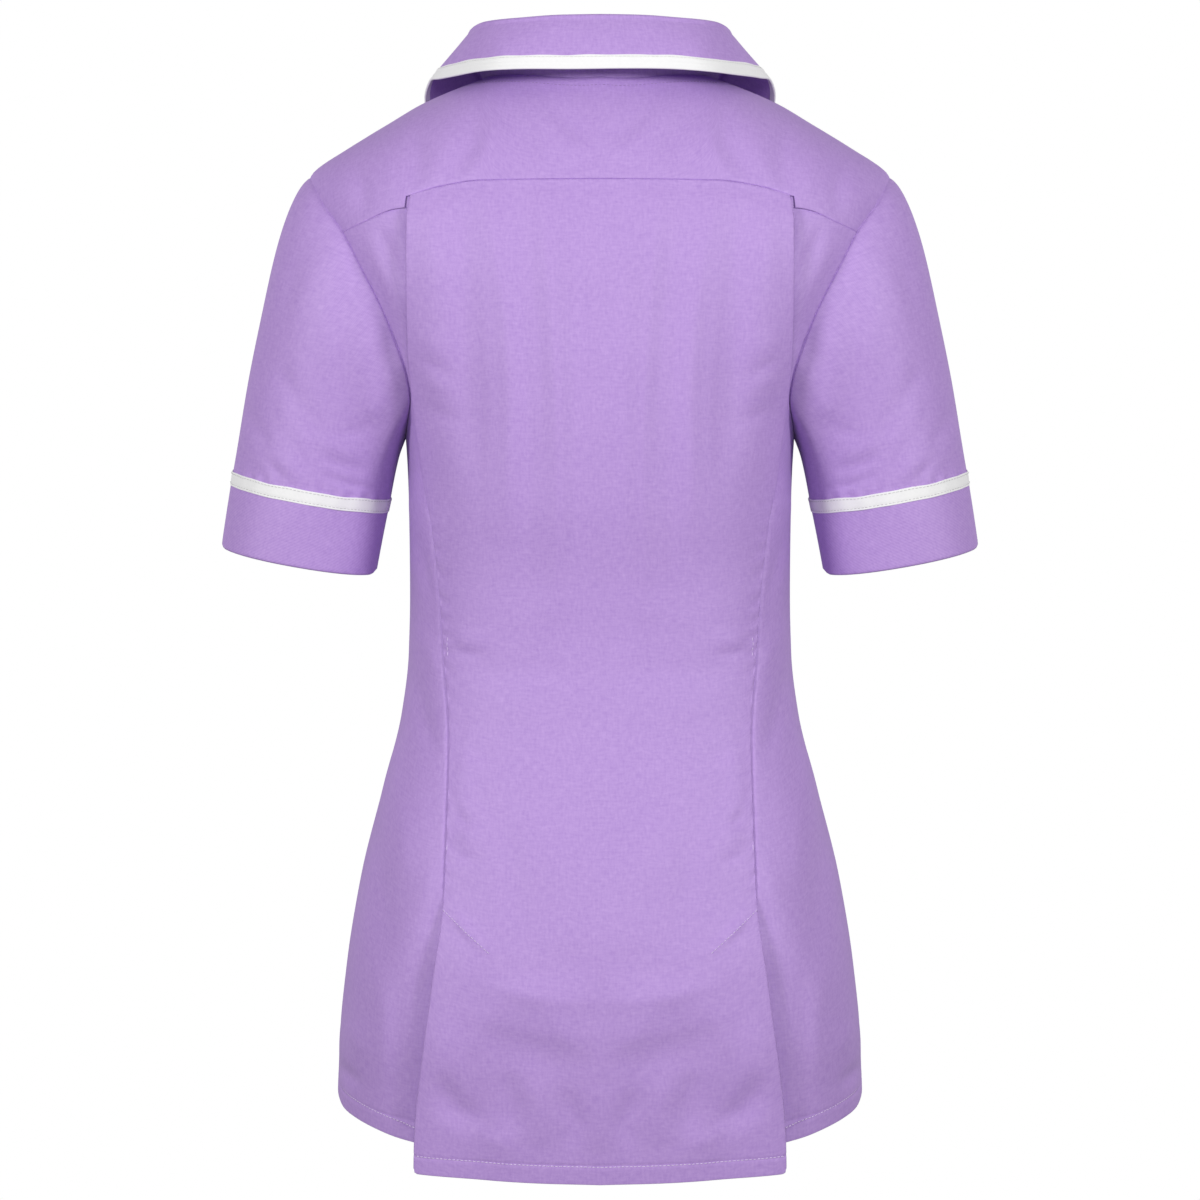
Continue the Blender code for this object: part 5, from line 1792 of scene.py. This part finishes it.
class TUNIC_OT_stitching(Operator):
    """Sew the rows of topstitching, tacks and bars"""

    bl_idname = "tunic.stitching"
    bl_label = "Topstitching"

    def execute(self, context):
        lilac, white = materials()["lilac thread"], materials()["white thread"]
        thread_in_painted_shade = materials()["sunken lilac thread"]
        # the neck row is sewn with the thread darkened as painted shade
        sew("neck_topstitch", self.neck_runs(), thread_in_painted_shade)
        sew("hem_topstitch", self.hem_runs(), lilac, width=HEM_THREAD * MM)
        sew("pleat_bars", self.bar_runs(), lilac)
        sew("band_topstitch", self.band_runs(), lilac)
        sew("tape_topstitch", self.tape_runs(), white)
        pale = materials()["pale thread"]
        sew("binding_topstitch", self.binding_runs(), pale)
        return {"FINISHED"}

    def neck_runs(self):
        """Round the back neck, below its seam."""
        numbers = np.linspace(-NECK_STEPS * 0.97, NECK_STEPS * 0.97, 90)
        across = np.sign(numbers) * neck_across(np.abs(numbers))
        height = back_neck_height(np.abs(across)) - NECK_ROW
        return [run_on(across, height, BACK, yoke_lift(across, height) + LAID_ON)]

    def hem_runs(self):
        """Along the turned-up hems, and the fronts' hems."""
        depth = sizes().hem / MM
        runs = []
        across = np.linspace(-119, 119, 130)
        height = smooth_line(CENTRE_HEM)(np.abs(across)) + depth
        points, normals = back_run(across, height)
        runs.append((points - normals * PRESSED_IN, normals))
        for side in (-1, 1):
            across = np.linspace(122, 174, 30)
            height = smooth_line(SIDE_HEM)(across) + depth
            beside = across - centre_edge(height)
            lift = crease_rise(SIDE_BACK_CREASES, across, height) * eased(beside / 8)
            lift = lift + ripples(across, height, 3) * eased(beside / 8) - PRESSED_IN
            runs.append(run_on(side * across, height, BACK, lift))
            across = np.linspace(17, 174, 80)
            height = smooth_line(FRONT_HEM)(across) + depth
            lift = front_lift(across, height) - lap_sink(across, side) - PRESSED_IN
            runs.append(run_on(side * across, height, FRONT, lift))
        return runs

    def bar_runs(self):
        """Diagonal rows that hold the tops of the kick pleats, and tacks on the seams."""
        runs = []
        for side in (-1, 1):
            for start, end in BARS:
                across, height = np.linspace(start, end, 16).T
                runs.append(back_run(side * across, height))
        return runs

    def band_runs(self):
        """Both long edges of the button band."""
        height = np.linspace(-79, -711, 200)
        runs = []
        for across in (-BAND_STITCHES, BAND_STITCHES):
            points, normals = band_surface(np.full(height.shape, across), height)
            runs.append((points - normals * 0.12, normals))
        return runs

    def tape_runs(self):
        """Near both edges of the sleeve tapes."""
        turn = np.linspace(0, 2 * np.pi, 240)
        runs = []
        for side in (-1, 1):
            for along in (-TAPE_WIDTH / 2 + 1.3, TAPE_WIDTH / 2 - 1.5):
                runs.append(tape_surface(turn, along, side))
        return runs

    def binding_runs(self):
        """Near the inner edge of the collar's binding."""
        _, _, leaf, normal = collar_grid()
        line = near_outer_edge(leaf, leaf, BINDING_WIDTH - 1.3)
        return [(line + normal[-1] * 0.42, normal[-1])]


# Stage, whose places are in metres

CAMERA_PLACE, CAMERA_LENS = (0, -3, -0.3536), 132.353
FLOOR_HEIGHT, FLOOR_RADIUS = -1.4, 3.6


class TUNIC_OT_stage(Operator):
    """Set the pale floor, the soft studio lights and the camera"""

    bl_idname = "tunic.stage"
    bl_label = "Stage"

    def execute(self, context):
        self.floor()
        self.world()
        for name, side in SIDES:
            self.light(
                f"key_light_{name}", place=(1.7 * side, -1.8, 0.3), aim=(0, 0, -0.1), size=0.7, power=28
            )
            self.light(
                f"far_light_{name}", place=(1.7 * side, 2.2, 0.8), aim=(0, 0, -0.35), size=1.2, power=30,
                shines=False,
            )
        self.light("front_light", place=(0, -3.1, 0.4), aim=(0, 0, -0.2), size=0.7, power=19)
        data = bpy.data.cameras.new("camera")
        data.sensor_width = 36
        data.lens = CAMERA_LENS
        data.clip_start, data.clip_end = 0.1, 60
        camera = bpy.data.objects.new("camera", data)
        camera.location = CAMERA_PLACE
        camera.rotation_euler = (math.radians(90), 0, 0)
        context.scene.collection.objects.link(camera)
        context.scene.camera = camera
        context.scene.view_settings.view_transform = "Standard"
        context.scene.view_settings.look = "None"
        return {"FINISHED"}

    def floor(self):
        deselect_all()
        bpy.ops.mesh.primitive_circle_add(
            vertices=96, radius=FLOOR_RADIUS, fill_type="NGON", location=(0, 0, FLOOR_HEIGHT)
        )
        floor = bpy.context.active_object
        floor.name = "floor"
        material, nodes, links = new_material("pale floor")
        shader = nodes["Principled BSDF"]
        shader.inputs["Roughness"].default_value = 0.7
        place = add_node(nodes, "ShaderNodeTexCoord", (-700, 0))
        grain = add_node(nodes, "ShaderNodeTexNoise", (-500, 0), Scale=6.0, Detail=4.0)
        links.new(place.outputs["Object"], grain.inputs["Vector"])
        blend_colours(
            nodes, links, (-300, 0), (0.86, 0.86, 0.87), (0.9, 0.9, 0.9), grain.outputs["Fac"], shader
        )
        shader.inputs["Emission Color"].default_value = (1, 1, 1, 1)
        shader.inputs["Emission Strength"].default_value = 0.3
        floor.visible_diffuse = floor.visible_glossy = False
        floor.data.materials.append(material)

    def world(self):
        world = bpy.data.worlds.new("studio")
        bpy.context.scene.world = world
        world.use_nodes = True
        nodes, links = world.node_tree.nodes, world.node_tree.links
        light = nodes["Background"]
        light.inputs["Color"].default_value = (1, 0.99, 1, 1)
        light.inputs["Strength"].default_value = 0.25
        seen = nodes.new("ShaderNodeBackground")
        seen.inputs["Color"].default_value = (1, 1, 1, 1)
        seen.inputs["Strength"].default_value = 1.0
        path = nodes.new("ShaderNodeLightPath")
        mix = nodes.new("ShaderNodeMixShader")
        links.new(path.outputs["Is Camera Ray"], mix.inputs["Fac"])
        links.new(light.outputs[0], mix.inputs[1])
        links.new(seen.outputs[0], mix.inputs[2])
        links.new(mix.outputs[0], nodes["World Output"].inputs["Surface"])

    def light(self, name, place, aim, size, power, shines=True):
        data = bpy.data.lights.new(name, "AREA")
        data.shape = "DISK"
        data.size = size
        data.energy = power
        lamp = bpy.data.objects.new(name, data)
        lamp.location = place
        lamp.visible_camera = False
        lamp.visible_glossy = shines
        lamp.rotation_mode = "QUATERNION"
        lamp.rotation_quaternion = (Vector(aim) - Vector(place)).to_track_quat("-Z", "Y")
        bpy.context.scene.collection.objects.link(lamp)


class TUNIC_PT_panel(Panel):
    """Lists the steps of sewing the tunic"""

    bl_idname = "TUNIC_PT_panel"
    bl_label = "Medical tunic"
    bl_space_type = "VIEW_3D"
    bl_region_type = "UI"
    bl_category = "Tunic"

    def draw(self, context):
        layout = self.layout
        for group in (context.scene.tunic_colours, context.scene.tunic_sizes):
            box = layout.box()
            for name in group.__annotations__:
                box.prop(group, name)
        for step in STEPS:
            layout.operator(step.bl_idname)


STEPS = (
    TUNIC_OT_stage,
    TUNIC_OT_back_yoke,
    TUNIC_OT_centre_back,
    TUNIC_OT_side_backs,
    TUNIC_OT_fronts,
    TUNIC_OT_button_band,
    TUNIC_OT_buttons,
    TUNIC_OT_sleeves,
    TUNIC_OT_cuffs,
    TUNIC_OT_sleeve_tapes,
    TUNIC_OT_collar,
    TUNIC_OT_stitching,
)
CLASSES = (TunicColours, TunicSizes, *STEPS, TUNIC_PT_panel)


def register():
    for cls in CLASSES:
        bpy.utils.register_class(cls)
    bpy.types.Scene.tunic_colours = PointerProperty(type=TunicColours)
    bpy.types.Scene.tunic_sizes = PointerProperty(type=TunicSizes)


def unregister():
    del bpy.types.Scene.tunic_sizes
    del bpy.types.Scene.tunic_colours
    for cls in reversed(CLASSES):
        bpy.utils.unregister_class(cls)


def main():
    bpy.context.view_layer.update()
    register()
    for step in STEPS:
        getattr(bpy.ops.tunic, step.bl_idname.split(".")[1])()


if __name__ == "__main__":
    main()
